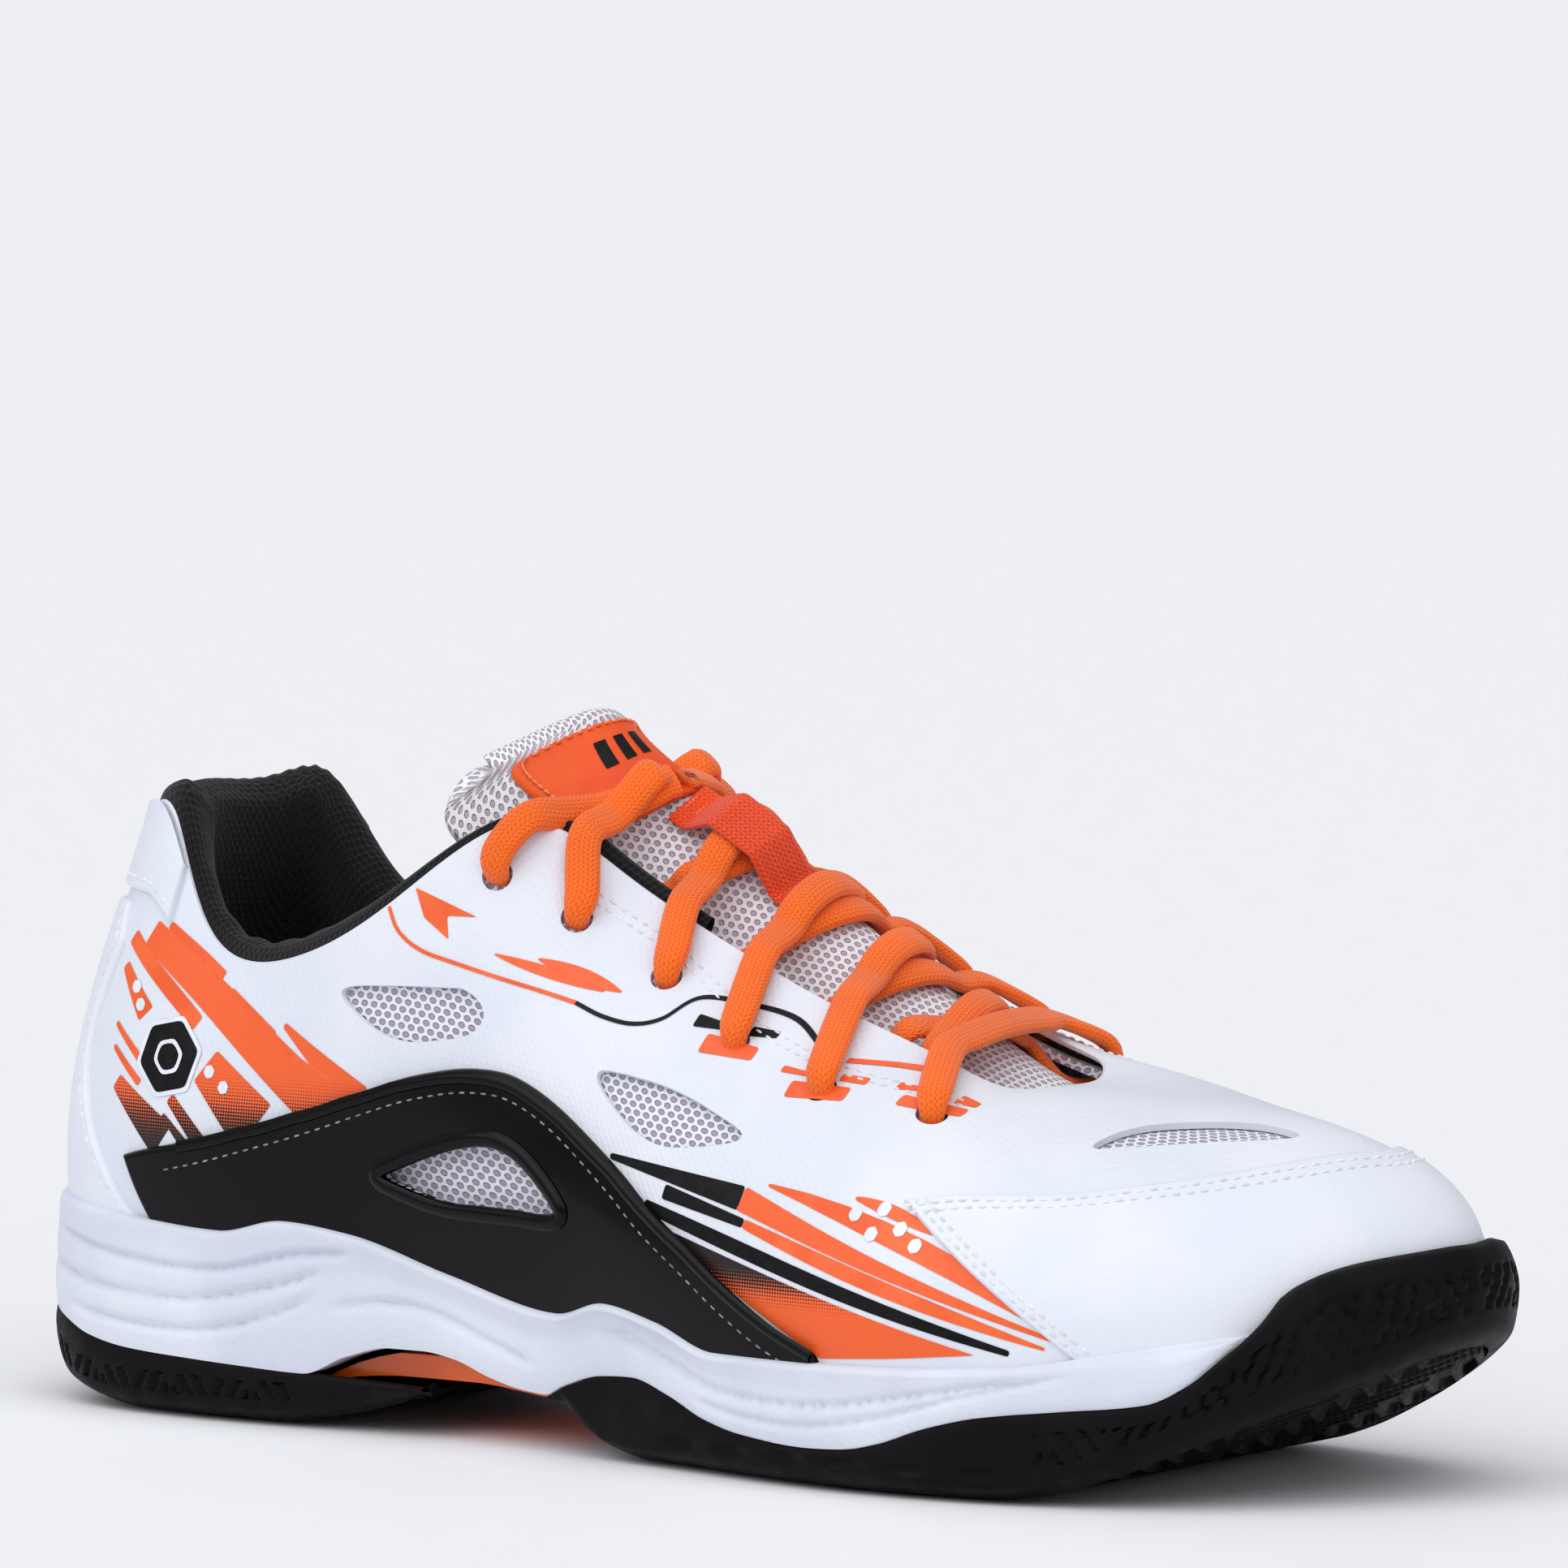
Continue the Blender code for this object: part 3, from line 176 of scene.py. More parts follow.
def height(points, x):
    """The height at x of a line of (x, z) that never overshoots its points."""
    p = np.asarray(points, float)
    step = np.diff(p[:, 0])
    rise = np.diff(p[:, 1]) / step
    product = rise[:-1] * rise[1:]
    inner = np.where(product > 0, 2 * product / (rise[:-1] + rise[1:] + 1e-12), 0)
    slope = np.concatenate([rise[:1], inner, rise[-1:]])
    x = np.clip(x, p[0, 0], p[-1, 0])
    i = np.clip(np.searchsorted(p[:, 0], x) - 1, 0, len(step) - 1)
    f = (x - p[i, 0]) / step[i]
    left = p[i, 1] * (1 + 2 * f) * (1 - f) ** 2 + slope[i] * step[i] * f * (1 - f) ** 2
    return left + p[i + 1, 1] * f * f * (3 - 2 * f) + slope[i + 1] * step[i] * f * f * (f - 1)


def upper(u, t):
    ribs = closed_curve(RIBS, u)
    t = np.asarray(t, float)[..., None]
    low = ribs[..., 0, :] * (1 - t) ** 3 + 3 * ribs[..., 1, :] * t * (1 - t) ** 2
    return low + 3 * ribs[..., 2, :] * t * t * (1 - t) + ribs[..., 3, :] * t**3


def outward(u, t):
    t = np.clip(t, 0.0, 0.999)
    around, upward = upper(u + 0.02, t) - upper(u - 0.02, t), upper(u, t + 0.001) - upper(u, t - 0.001)
    normal = np.cross(around, upward)
    return normal / np.linalg.norm(normal, axis=-1, keepdims=True)


def wall(u, t, distance=0.0, rise=0.0):
    """The point at (u, t), so many mm out from the upper and so many mm up along the rib."""
    u = np.asarray(u, float)
    t = np.asarray(t, float) + 0 * u
    u = u + 0 * t
    along = upper(u, t) - upper(u, t - 0.01)
    along = along / np.linalg.norm(along, axis=-1, keepdims=True)
    out = outward(u, t) * np.asarray(distance + 0 * t)[..., None]
    return upper(u, t) + out + along * np.asarray(rise + 0 * t)[..., None]


def rib_share(u, z):
    """How far up each rib the height z is reached, found by halving."""
    low, high = np.zeros_like(u), np.ones_like(u)
    for _ in range(24):
        middle = (low + high) / 2
        below = upper(u, middle)[..., 2] < z
        low, high = np.where(below, middle, low), np.where(below, high, middle)
    return (low + high) / 2


def locate(points, axes, around):
    """The (u, t) of points given by two coordinates, found all at once by Newton's method."""
    points = np.asarray(points, float).reshape(-1, 2)
    us, ts = np.meshgrid(np.linspace(*around, 121), np.linspace(0, 1, 41), indexing="ij")
    grid = upper(us, ts)[..., axes].reshape(-1, 2)
    nearest = np.array([((grid - point) ** 2).sum(-1).argmin() for point in points])
    u, t = us.reshape(-1)[nearest], ts.reshape(-1)[nearest]
    for _ in range(10):
        here = upper(u, t)[..., axes]
        du = (upper(u + 0.01, t)[..., axes] - here) / 0.01
        dt = (upper(u, t + 0.001)[..., axes] - here) / 0.001
        lack = points - here
        det = du[:, 0] * dt[:, 1] - du[:, 1] * dt[:, 0]
        det = np.where(np.abs(det) < 1e-6, 1e-6, det)
        u = u + np.clip((lack[:, 0] * dt[:, 1] - lack[:, 1] * dt[:, 0]) / det, -0.3, 0.3)
        t = np.clip(t + np.clip((du[:, 0] * lack[:, 1] - du[:, 1] * lack[:, 0]) / det, -0.2, 0.2), 0, 1)
    return u, t


SIDES = {"lateral": (0.3, 12.7), "medial": (TURN - 12.7, TURN - 0.3)}


def on_side(points, side):
    return locate(points, [0, 2], SIDES[side])


def rounded(corners, radius, steps=6):
    corners = np.asarray(corners, float)
    outline = []
    for i, corner in enumerate(corners):
        ends = []
        for other in (corners[i - 1], corners[(i + 1) % len(corners)]):
            edge = other - corner
            length = np.linalg.norm(edge)
            ends.append(corner + edge / length * min(radius, 0.45 * length))
        for f in np.linspace(0, 1, steps):
            outline.append(ends[0] * (1 - f) ** 2 + 2 * corner * f * (1 - f) + ends[1] * f * f)
    return np.array(outline)


def sole_edge(u, inset=0.0):
    here = closed_curve(SOLE_EDGE, u)
    along = closed_curve(SOLE_EDGE, u + 0.02) - closed_curve(SOLE_EDGE, u - 0.02)
    along = along / np.linalg.norm(along, axis=-1, keepdims=True)
    inward = np.stack([-along[..., 1], along[..., 0]], axis=-1)
    return here + inward * np.asarray(inset + 0 * u)[..., None]


def at_height(xy, z):
    return np.concatenate([xy, np.asarray(z + 0 * xy[..., 0])[..., None]], axis=-1)


def smooth_step(x):
    x = np.clip(x, 0, 1)
    return x * x * (3 - 2 * x)


print("surface: ribs", TURN, "toe point", np.round(upper(np.array(13.0), 0.4), 1))

# %% [markdown]
# Two ways of making a mesh serve nearly every piece: a grid of points (skins, panels, soles) and a
# tube swept along a line (laces, piping, stitches). Each grid keeps its real lengths in millimetres
# as UV, so weave and grain come out at the right size.

# %% Mesh helpers


def finish_mesh(name, points, faces, material, uv=None, angle=40):
    mesh = bpy.data.meshes.new(name)
    mesh.from_pydata(to_metres(points).tolist(), [], faces)
    if uv is not None:
        layer = mesh.uv_layers.new(name="mm")
        corners = np.empty(len(mesh.loops), int)
        mesh.loops.foreach_get("vertex_index", corners)
        layer.data.foreach_set("uv", np.asarray(uv, float)[corners].ravel())
    mesh.materials.append(material)
    mesh.shade_smooth()
    mesh.set_sharp_from_angle(angle=np.radians(angle))
    made = bpy.data.objects.new(name, mesh)
    bpy.context.scene.collection.objects.link(made)
    return made


def grid_faces(rows, columns, closed=False):
    faces = []
    for i in range(rows if closed else rows - 1):
        a, b = i * columns, (i + 1) % rows * columns
        for j in range(columns - 1):
            faces.append((a + j, b + j, b + j + 1, a + j + 1))
    return faces


def lengths(grid, axis):
    step = np.linalg.norm(np.diff(grid, axis=axis), axis=-1)
    start = np.zeros_like(np.take(step, [0], axis=axis))
    return np.concatenate([start, np.cumsum(step, axis=axis)], axis=axis)


def skin(name, grid, material, closed=False, angle=40, uv=None):
    """An object from a grid of points; faces look to the side of (first axis) x (second axis)."""
    rows, columns = grid.shape[:2]
    if uv is None:
        middle = columns // 2
        across = lengths(grid, 0)[:, [middle]] + 0 * grid[..., 0]
        along = lengths(grid, 1)
        uv = np.stack([across, along], axis=-1)
    faces = grid_faces(rows, columns, closed)
    return finish_mesh(name, grid.reshape(-1, 3), faces, material, uv.reshape(-1, 2), angle)


def frames_along(path):
    tangent = np.gradient(path, axis=0)
    return tangent / np.maximum(np.linalg.norm(tangent, axis=1, keepdims=True), 1e-9)


def sweep(name, path, normals, profile, material, closed=False):
    """A tube along path; profile is a closed ring of (across, out) in mm, or one ring per point."""
    path = np.asarray(path, float)
    tangent = frames_along(path)
    normals = normals - (normals * tangent).sum(1, keepdims=True) * tangent
    normals = normals / np.maximum(np.linalg.norm(normals, axis=1, keepdims=True), 1e-9)
    side = np.cross(tangent, normals)
    profile = np.broadcast_to(profile, (len(path), *np.shape(profile)[-2:]))
    grid = path[:, None] + side[:, None] * profile[..., :1] + normals[:, None] * profile[..., 1:]
    size = grid.shape[1]
    grid = np.concatenate([grid, grid[:, :1]], axis=1)
    uv = np.stack([lengths(path[:, None], 0) + 0 * grid[..., 0], lengths(grid, 1)], axis=-1)
    points = grid.reshape(-1, 3)
    faces = grid_faces(len(path), size + 1, closed)
    if not closed:
        faces.append(tuple(range(size)))
        faces.append(tuple((len(path) - 1) * (size + 1) + k for k in reversed(range(size))))
    made = finish_mesh(name, points, faces, material, uv.reshape(-1, 2), 60)
    weld(made)
    return made


def weld(obj):
    """Points that lie together made one, and the faces turned outwards."""
    shape = bmesh.new()
    shape.from_mesh(obj.data)
    bmesh.ops.remove_doubles(shape, verts=shape.verts[:], dist=1e-6)
    bmesh.ops.recalc_face_normals(shape, faces=shape.faces[:])
    shape.to_mesh(obj.data)
    shape.free()


def join(name, pieces):
    """One object from several, so that a row of stitches is one piece."""
    bpy.ops.object.select_all(action="DESELECT")
    for piece in pieces:
        piece.select_set(True)
    bpy.context.view_layer.objects.active = pieces[0]
    if len(pieces) > 1:
        bpy.ops.object.join()
    pieces[0].name = name
    return pieces[0]


def along_surface(u, t, spacing):
    """Places spaced evenly in mm along a line of (u, t) on the upper."""
    fine_u = np.interp(np.linspace(0, len(u) - 1, 40 * len(u)), np.arange(len(u)), u)
    fine_t = np.interp(np.linspace(0, len(t) - 1, 40 * len(t)), np.arange(len(t)), t)
    run = lengths(wall(fine_u, fine_t)[:, None], 0)[:, 0]
    count = max(int(run[-1] / spacing), 2)
    at = np.linspace(0, run[-1], count + 1)
    return np.interp(at, run, fine_u), np.interp(at, run, fine_t)


print("helpers ready")

# %% [markdown]
# Every finish is mixed from the same few nodes: a colour, small noise in colour and roughness, and a
# bump whose pattern is laid out in millimetres. One helper adds a node and links what it is given.

# %% Material helpers


def srgb(code):
    values = [int(code[i : i + 2], 16) / 255 for i in (1, 3, 5)]
    return tuple(v / 12.92 if v <= 0.04045 else ((v + 0.055) / 1.055) ** 2.4 for v in values) + (1.0,)


def add(tree, kind, settings=None, **inputs):
    """A node with its settings made and its inputs set or linked; a socket given links."""
    node = tree.nodes.new(kind)
    for key, value in (settings or {}).items():
        setattr(node, key, value)
    for key, value in inputs.items():
        socket = node.inputs[int(key[1:])] if key[0] == "i" and key[1:].isdigit() else node.inputs[key]
        if isinstance(value, bpy.types.NodeSocket):
            tree.links.new(value, socket)
        else:
            socket.default_value = value
    return node


def calc(tree, operation, a, b=0.0, c=0.0):
    return add(tree, "ShaderNodeMath", {"operation": operation}, i0=a, i1=b, i2=c).outputs[0]


def finish(name, colour, roughness, metallic=0.0, **sockets):
    made = bpy.data.materials.new(name)
    made.use_nodes = True
    shader = made.node_tree.nodes["Principled BSDF"]
    shader.inputs["Base Color"].default_value = srgb(colour)
    shader.inputs["Roughness"].default_value = roughness
    shader.inputs["Metallic"].default_value = metallic
    for key, value in sockets.items():
        shader.inputs[key.replace("_", " ")].default_value = value
    made.diffuse_color = srgb(colour)
    return made, made.node_tree, shader


def object_place(tree):
    return add(tree, "ShaderNodeTexCoord").outputs["Object"]


def surface_mm(tree):
    return add(tree, "ShaderNodeUVMap", {"uv_map": "mm"}).outputs[0]


def noise(tree, place, per_metre, detail=3.0, rough=0.5):
    return add(
        tree, "ShaderNodeTexNoise", None, Vector=place, Scale=per_metre, Detail=detail, Roughness=rough
    ).outputs["Fac"]


def ramp(tree, value, low, high, dark=0.0, light=1.0):
    node = add(tree, "ShaderNodeMapRange", {"clamp": True, "interpolation_type": "SMOOTHSTEP"}, i0=value)
    for index, number in zip((1, 2, 3, 4), (low, high, dark, light)):
        node.inputs[index].default_value = number
    return node.outputs[0]


def mixed(tree, share, first, second):
    node = add(tree, "ShaderNodeMix", {"data_type": "RGBA"})
    for socket, value in ((node.inputs[0], share), (node.inputs[6], first), (node.inputs[7], second)):
        if isinstance(value, bpy.types.NodeSocket):
            tree.links.new(value, socket)
        else:
            socket.default_value = value
    return node.outputs[2]


def bump(tree, shader, fine, distance, strength=1.0, before=None):
    node = add(tree, "ShaderNodeBump", None, Strength=strength, Distance=distance, Height=fine)
    if before is not None:
        tree.links.new(before, node.inputs["Normal"])
    tree.links.new(node.outputs[0], shader.inputs["Normal"])
    return node.outputs[0]


def parts(tree, place, axes=(0, 1)):
    """The numbers of a place along the given axes, as sockets."""
    split = add(tree, "ShaderNodeSeparateXYZ", None, i0=place)
    return [split.outputs[axis] for axis in axes]


def hexagons(tree, place, pitch, radius):
    """1 on the threads and 0 in the holes of a knitted mesh whose holes stand pitch mm apart."""
    soft_edge = 0.12
    row_pitch = 1.732  # rows of a hexagonal pattern stand the square root of 3 pitches apart
    x, y = parts(tree, place)
    nearest = None
    for shift in (0.0, 0.5):
        across = calc(tree, "ADD", calc(tree, "DIVIDE", x, pitch), shift)
        across = calc(tree, "SUBTRACT", calc(tree, "FRACT", across), 0.5)
        along = calc(tree, "ADD", calc(tree, "DIVIDE", y, pitch * row_pitch), shift)
        along = calc(tree, "MULTIPLY", calc(tree, "SUBTRACT", calc(tree, "FRACT", along), 0.5), row_pitch)
        squares = [calc(tree, "MULTIPLY", value, value) for value in (across, along)]
        far = calc(tree, "SQRT", calc(tree, "ADD", *squares))
        nearest = far if nearest is None else calc(tree, "MINIMUM", nearest, far)
    return ramp(tree, nearest, radius, radius + soft_edge)


def tinted(tree, shader, base, darker, place, per_metre):
    """A base colour with faint patches of a darker one."""
    share = ramp(tree, noise(tree, place, per_metre), 0.35, 0.7)
    tree.links.new(mixed(tree, share, srgb(darker), srgb(base)), shader.inputs["Base Color"])


def pores(tree, place, per_metre):
    """The distance from the edges of small cells, as in a leather grain."""
    feature = {"feature": "DISTANCE_TO_EDGE"}
    return add(tree, "ShaderNodeTexVoronoi", feature, Vector=place, Scale=per_metre).outputs["Distance"]


def plain(name, colour, tints, roughness, patches, grain, depth, strength, **sockets):
    """A finish of one colour in faint patches, under a fine grain; patches and grain are per metre."""
    made, tree, shader = finish(name, colour, roughness, **sockets)
    place = object_place(tree)
    if depth:
        bump(tree, shader, noise(tree, place, grain), depth, strength)
    tinted(tree, shader, *tints, place, patches)
    return made


print("material helpers ready")

# %% [markdown]
# White synthetic leather is polyurethane cast on a textile and pressed with a fine diamond grain. The
# smooth panels (toe cap, heel counter, tab) have a quieter grain. Both are very slightly blue.

# %% White synthetics
skin_white, tree, shader = finish("embossed_synthetic", "#E4E8F1", 0.42, Specular_IOR_Level=0.4)
x, y = parts(tree, surface_mm(tree))
slant = calc(tree, "MULTIPLY", y, 0.6)
lines = [calc(tree, way, x, slant) for way in ("ADD", "SUBTRACT")]
diamonds = calc(tree, "MAXIMUM", *(calc(tree, "SINE", calc(tree, "MULTIPLY", value, 4.2)) for value in lines))
grain = noise(tree, object_place(tree), 900.0, 4.0, 0.6)
normal = bump(tree, shader, diamonds, 0.00008, 0.32)
bump(tree, shader, grain, 0.00006, 0.5, normal)
tinted(tree, shader, "#E6EAF3", "#DDE2EE", object_place(tree), 30.0)

leather_white, tree, shader = finish("smooth_synthetic", "#E6EAF4", 0.38, Specular_IOR_Level=0.45)
place = object_place(tree)
normal = bump(tree, shader, ramp(tree, pores(tree, place, 1500.0), 0.0, 0.25), 0.00005, 0.35)
bump(tree, shader, noise(tree, place, 160.0), 0.0003, 0.25, normal)
tinted(tree, shader, "#E8ECF5", "#DFE4F0", place, 25.0)
print("white synthetics made")

# %% [markdown]
# The windows show a knitted spacer mesh: a white face with rows of open hexagons over a grey shadowed
# back. The tongue has the same kind of mesh with smaller cells, and the collar a black one.

# %% Meshes


def mesh_cloth(name, thread, hole, pitch, radius, depth, stretch=1.0):
    made, tree, shader = finish(name, thread, 0.85, Specular_IOR_Level=0.25, Sheen_Weight=0.15)
    scale = (1.0, stretch, 1.0)
    place = add(tree, "ShaderNodeMapping", None, Vector=surface_mm(tree), Scale=scale).outputs[0]
    cells = hexagons(tree, place, pitch, radius)
    diagonal = {"bands_direction": "DIAGONAL"}
    twist = add(tree, "ShaderNodeTexWave", diagonal, Vector=place, Scale=2.2, Distortion=1.5)
    shade = mixed(tree, cells, srgb(hole), srgb(thread))
    fibre = ramp(tree, noise(tree, surface_mm(tree), 6.0, 4.0), 0.2, 0.8, 0.0, 0.12)
    tree.links.new(mixed(tree, fibre, shade, srgb(hole)), shader.inputs["Base Color"])
    normal = bump(tree, shader, cells, depth, 1.0)
    bump(tree, shader, twist.outputs["Fac"], 0.00008, 0.35, normal)
    return made


window_mesh = mesh_cloth("window_mesh", "#F2F0F8", "#A3A0B6", 2.3, 0.25, 0.0006, stretch=1.45)
tongue_mesh = mesh_cloth("tongue_mesh", "#F6F3F8", "#B4ADBE", 1.8, 0.22, 0.0006, stretch=0.9)
lining_black = mesh_cloth("collar_mesh", "#101013", "#020203", 1.4, 0.26, 0.0005)
print("meshes made")

# %% [markdown]
# The saddle is a glossy moulded film, welded on and stitched. The tongue label is a soft orange film.
# Rubber is moulded black and almost matte; the foam has fine pebbles from its mould; the shank plate
# is injected orange plastic.

# %% Film, rubber, foam, plastic
film_black, tree, shader = finish("black_film", "#030304", 0.12, Specular_IOR_Level=0.16)
place = object_place(tree)
normal = bump(tree, shader, noise(tree, place, 1400.0, 2.0), 0.00004, 0.3)
bump(tree, shader, noise(tree, place, 90.0), 0.0008, 0.12, normal)
tree.links.new(ramp(tree, noise(tree, place, 60.0), 0.3, 0.7, 0.14, 0.24), shader.inputs["Roughness"])

rubber_black, tree, shader = finish("outsole_rubber", "#08080A", 0.5, Specular_IOR_Level=0.1)
place = object_place(tree)
bump(tree, shader, noise(tree, place, 1100.0, 4.0, 0.65), 0.0001, 0.45)
tree.links.new(ramp(tree, noise(tree, place, 220.0, 4.0), 0.3, 0.7, 0.46, 0.62), shader.inputs["Roughness"])
tinted(tree, shader, "#0D0D0F", "#070708", place, 90.0)

foam_white, tree, shader = finish("eva_foam", "#DFE2EE", 0.6, Specular_IOR_Level=0.35, Subsurface_Weight=0.04)
place = object_place(tree)
soft_cells = {"feature": "SMOOTH_F1"}
pebbles = add(tree, "ShaderNodeTexVoronoi", soft_cells, Vector=place, Scale=1050.0, Smoothness=0.4)
bump(tree, shader, pebbles.outputs["Distance"], 0.00016, 0.5)
tinted(tree, shader, "#E2E5F0", "#D6DAE8", place, 40.0)

plate_orange, tree, shader = finish("tpu_plate", "#F2650A", 0.3, Specular_IOR_Level=0.5, Coat_Weight=0.3)
bump(tree, shader, noise(tree, object_place(tree), 700.0), 0.00008, 0.3)
tinted(tree, shader, "#F56A0C", "#E85A06", object_place(tree), 60.0)

film_orange, tree, shader = finish("orange_label", "#F4560C", 0.45, Specular_IOR_Level=0.4)
place = object_place(tree)
bump(tree, shader, ramp(tree, pores(tree, place, 1300.0), 0.0, 0.3), 0.00006, 0.5)
tinted(tree, shader, "#F65C10", "#E94B08", place, 50.0)
print("film, rubber, foam and plastic made")

# %% [markdown]
# The lace is a flat tube knitted from textured yarn: fine ribs run across it, and it is felted a
# little smooth where it has been pulled. Webbing is a tape with a visible plain weave. Thread is a
# bonded polyester, a little shiny.

# %% Yarn, tape and thread


def knit(name, bright, dark, rib_mm, depth):
    made, tree, shader = finish(name, bright, 0.75, Specular_IOR_Level=0.3, Sheen_Weight=0.25)
    x, y = parts(tree, surface_mm(tree))
    stagger = calc(tree, "MULTIPLY", calc(tree, "SINE", calc(tree, "MULTIPLY", y, 5.5)), 0.35)
    ribs = calc(tree, "SINE", calc(tree, "MULTIPLY", calc(tree, "ADD", x, stagger), 6.2832 / rib_mm))
    strands = calc(tree, "SINE", calc(tree, "MULTIPLY", y, 7.5))
    weave = calc(tree, "MULTIPLY_ADD", ribs, 0.6, calc(tree, "MULTIPLY", strands, 0.4))
    worn = ramp(tree, noise(tree, object_place(tree), 35.0), 0.35, 0.65, 0.35, 1.0)
    bump(tree, shader, calc(tree, "MULTIPLY", weave, worn), depth, 0.8)
    # The colour goes to the dark one where the weave is low: painted shade in the grooves between the ribs.
    shade = ramp(tree, weave, -0.9, 0.3, 0.0, 1.0)
    tree.links.new(mixed(tree, shade, srgb(dark), srgb(bright)), shader.inputs["Base Color"])
    return made


lace_orange = knit("lace_knit", "#FF7412", "#F05206", 0.9, 0.00016)
tape_orange = knit("webbing", "#FA4A08", "#D23203", 1.1, 0.00025)
THREAD = dict(patches=300.0, grain=3000.0, strength=0.5, Sheen_Weight=0.2)
thread_white = plain("thread_white", "#F2F3F8", ("#F5F6FA", "#DADCE6"), 0.45, depth=0.00005, **THREAD)
thread_grey = plain("thread_grey", "#8A8A92", ("#9A9AA2", "#6E6E78"), 0.5, depth=0.0, **THREAD)
thread_orange = plain("thread_orange", "#FFB27E", ("#FF935A", "#E86A20"), 0.45, depth=0.00005, **THREAD)
sock_tints, board_tints = ("#2C2C32", "#1C1C20"), ("#BFB49D", "#A89C84")
sock_grey = plain("sockliner_knit", "#2A2A30", sock_tints, 0.9, 200.0, 1500.0, 0.0002, 0.6, Sheen_Weight=0.3)
board_buff = plain("board", "#B9AE97", board_tints, 0.9, 120.0, 900.0, 0.0001, 0.5)
print("yarns made")

# %% [markdown]
# The prints are screen inks on the white skin: solid orange, solid black, and wedges that fade from
# orange to black through halftone dots. The dots are drawn in millimetres, about one apart.

# %% Inks


def halftone(name, start_z, end_z, first, second):
    """Ink that goes from the first colour at height start_z to the second at end_z, in dots."""
    made, tree, shader = finish(name, first, 0.4, Specular_IOR_Level=0.4)
    x, z = (calc(tree, "MULTIPLY", value, 1000.0) for value in parts(tree, object_place(tree), (0, 2)))
    share = ramp(tree, z, end_z, start_z, 1.0, 0.0)
    a = calc(tree, "SINE", calc(tree, "MULTIPLY", calc(tree, "ADD", x, z), 5.5))
    b = calc(tree, "SINE", calc(tree, "MULTIPLY", calc(tree, "SUBTRACT", x, z), 5.5))
    dots = calc(tree, "MULTIPLY_ADD", calc(tree, "MULTIPLY", a, b), 0.5, 0.5)
    inked = ramp(tree, calc(tree, "SUBTRACT", share, dots), -0.08, 0.08)
    tree.links.new(mixed(tree, inked, srgb(first), srgb(second)), shader.inputs["Base Color"])
    bump(tree, shader, noise(tree, object_place(tree), 900.0), 0.00005, 0.4)
    return made


INK = dict(grain=900.0, depth=0.00005, strength=0.4)
orange_tints, black_tints = ("#F76A33", "#EE5A20"), ("#141418", "#0A0A0C")
white_tints = ("#EEF1F8", "#E2E6F0")
ink_orange = plain("ink_orange", "#F4622A", orange_tints, 0.42, 120.0, Specular_IOR_Level=0.4, **INK)
ink_black = plain("ink_black", "#101013", black_tints, 0.4, 400.0, Specular_IOR_Level=0.15, **INK)
ink_white = plain("ink_white", "#ECEFF6", white_tints, 0.42, 120.0, Specular_IOR_Level=0.4, **INK)
ink_heel = halftone("ink_heel_fade", 62.0, 46.0, "#F4622A", "#101013")
ink_front = halftone("ink_front_fade", 20.0, 10.0, "#F4622A", "#1A0E0C")
ink_wedge = halftone("ink_wedge_fade", 28.0, 36.0, "#F4622A", "#141013")
print("inks made")

# %% [markdown]
# The sole is moulded in parts. The foam midsole is a cup whose lip hugs the upper; long curved grooves
# run from the heel to the arch, and a band follows the wave of the forefoot. The depth of the grooves
# is drawn as smooth valleys along a few listed lines, in side view. SIDE_LINE is the edge between
# the foam and the rubber below it.

# %% Midsole
SIDE_LINE = (
    (0, 17), (8, 15.4), (14, 14.2), (22, 12.2), (32, 10.9), (46, 10.2), (60, 9.6), (72, 9.2),
    (81, 12.6), (90, 14.6), (97, 14.6), (104, 13.7), (112, 11.2), (119, 9.8), (125, 9.4),
    (130, 11.4), (138, 13.7), (146, 14.2), (155, 12), (164, 8.8), (173, 7.2), (187, 6.4), (196, 6.8),
    (203, 8.2), (212, 11.3), (222, 13.7), (236, 15.4), (250, 17), (256, 20), (261, 24.5),
    (266, 30), (272, 36), (278, 39), (286, 41),
)
GROOVES = (  # each a line in side view, with its half-width and depth in mm
    (((6, 30.5), (30, 27), (52, 26), (70, 29.5), (84, 30.5)), 0.8, 1.5),
    (((4, 24.5), (22, 21.8), (44, 20.4), (62, 23), (78, 27.5)), 0.8, 1.5),
    (((14, 17.5), (32, 15.5), (50, 15.4), (64, 18.5), (76, 23.5)), 0.75, 1.4),
    (((76, 20.5), (88, 22.5), (100, 21.5), (112, 17.5), (124, 14)), 0.75, 1.3),
    (((136, 20.8), (144, 21.2), (156, 17.6), (168, 14.2), (190, 13.8), (214, 17.5), (236, 21.4)), 0.8, 1.3),
    (((160, 12.5), (172, 10.6), (188, 10.2), (204, 13), (222, 18), (240, 22)), 0.7, 1.1),
)


def line_distance(x, z, line):
    """How far points in side view are from a line, and 0 to 1 towards its two ends."""
    path = open_curve(np.array(line, float), np.linspace(0, len(line) - 1, 60))
    away = np.full(x.shape, 1e9)
    fade = np.zeros(x.shape)
    for k, (px, pz) in enumerate(path):
        d = np.hypot(x - px, z - pz)
        nearer = d < away
        away = np.where(nearer, d, away)
        fade = np.where(nearer, min(k, 59 - k) / 59 * 2, fade)
    return away, fade


def grooved(grid, normals, grooves):
    depth = 0.0
    for line, half, deep in grooves:
        away, fade = line_distance(grid[..., 0], grid[..., 2], line)
        depth = np.maximum(depth, deep * np.exp(-((away / half) ** 2)) * smooth_step(fade * 4))
    return grid - normals * np.asarray(depth)[..., None]


def grid_normals(grid):
    normal = np.cross(np.gradient(grid, axis=0), np.gradient(grid, axis=1))
    return normal / np.maximum(np.linalg.norm(normal, axis=-1, keepdims=True), 1e-9)


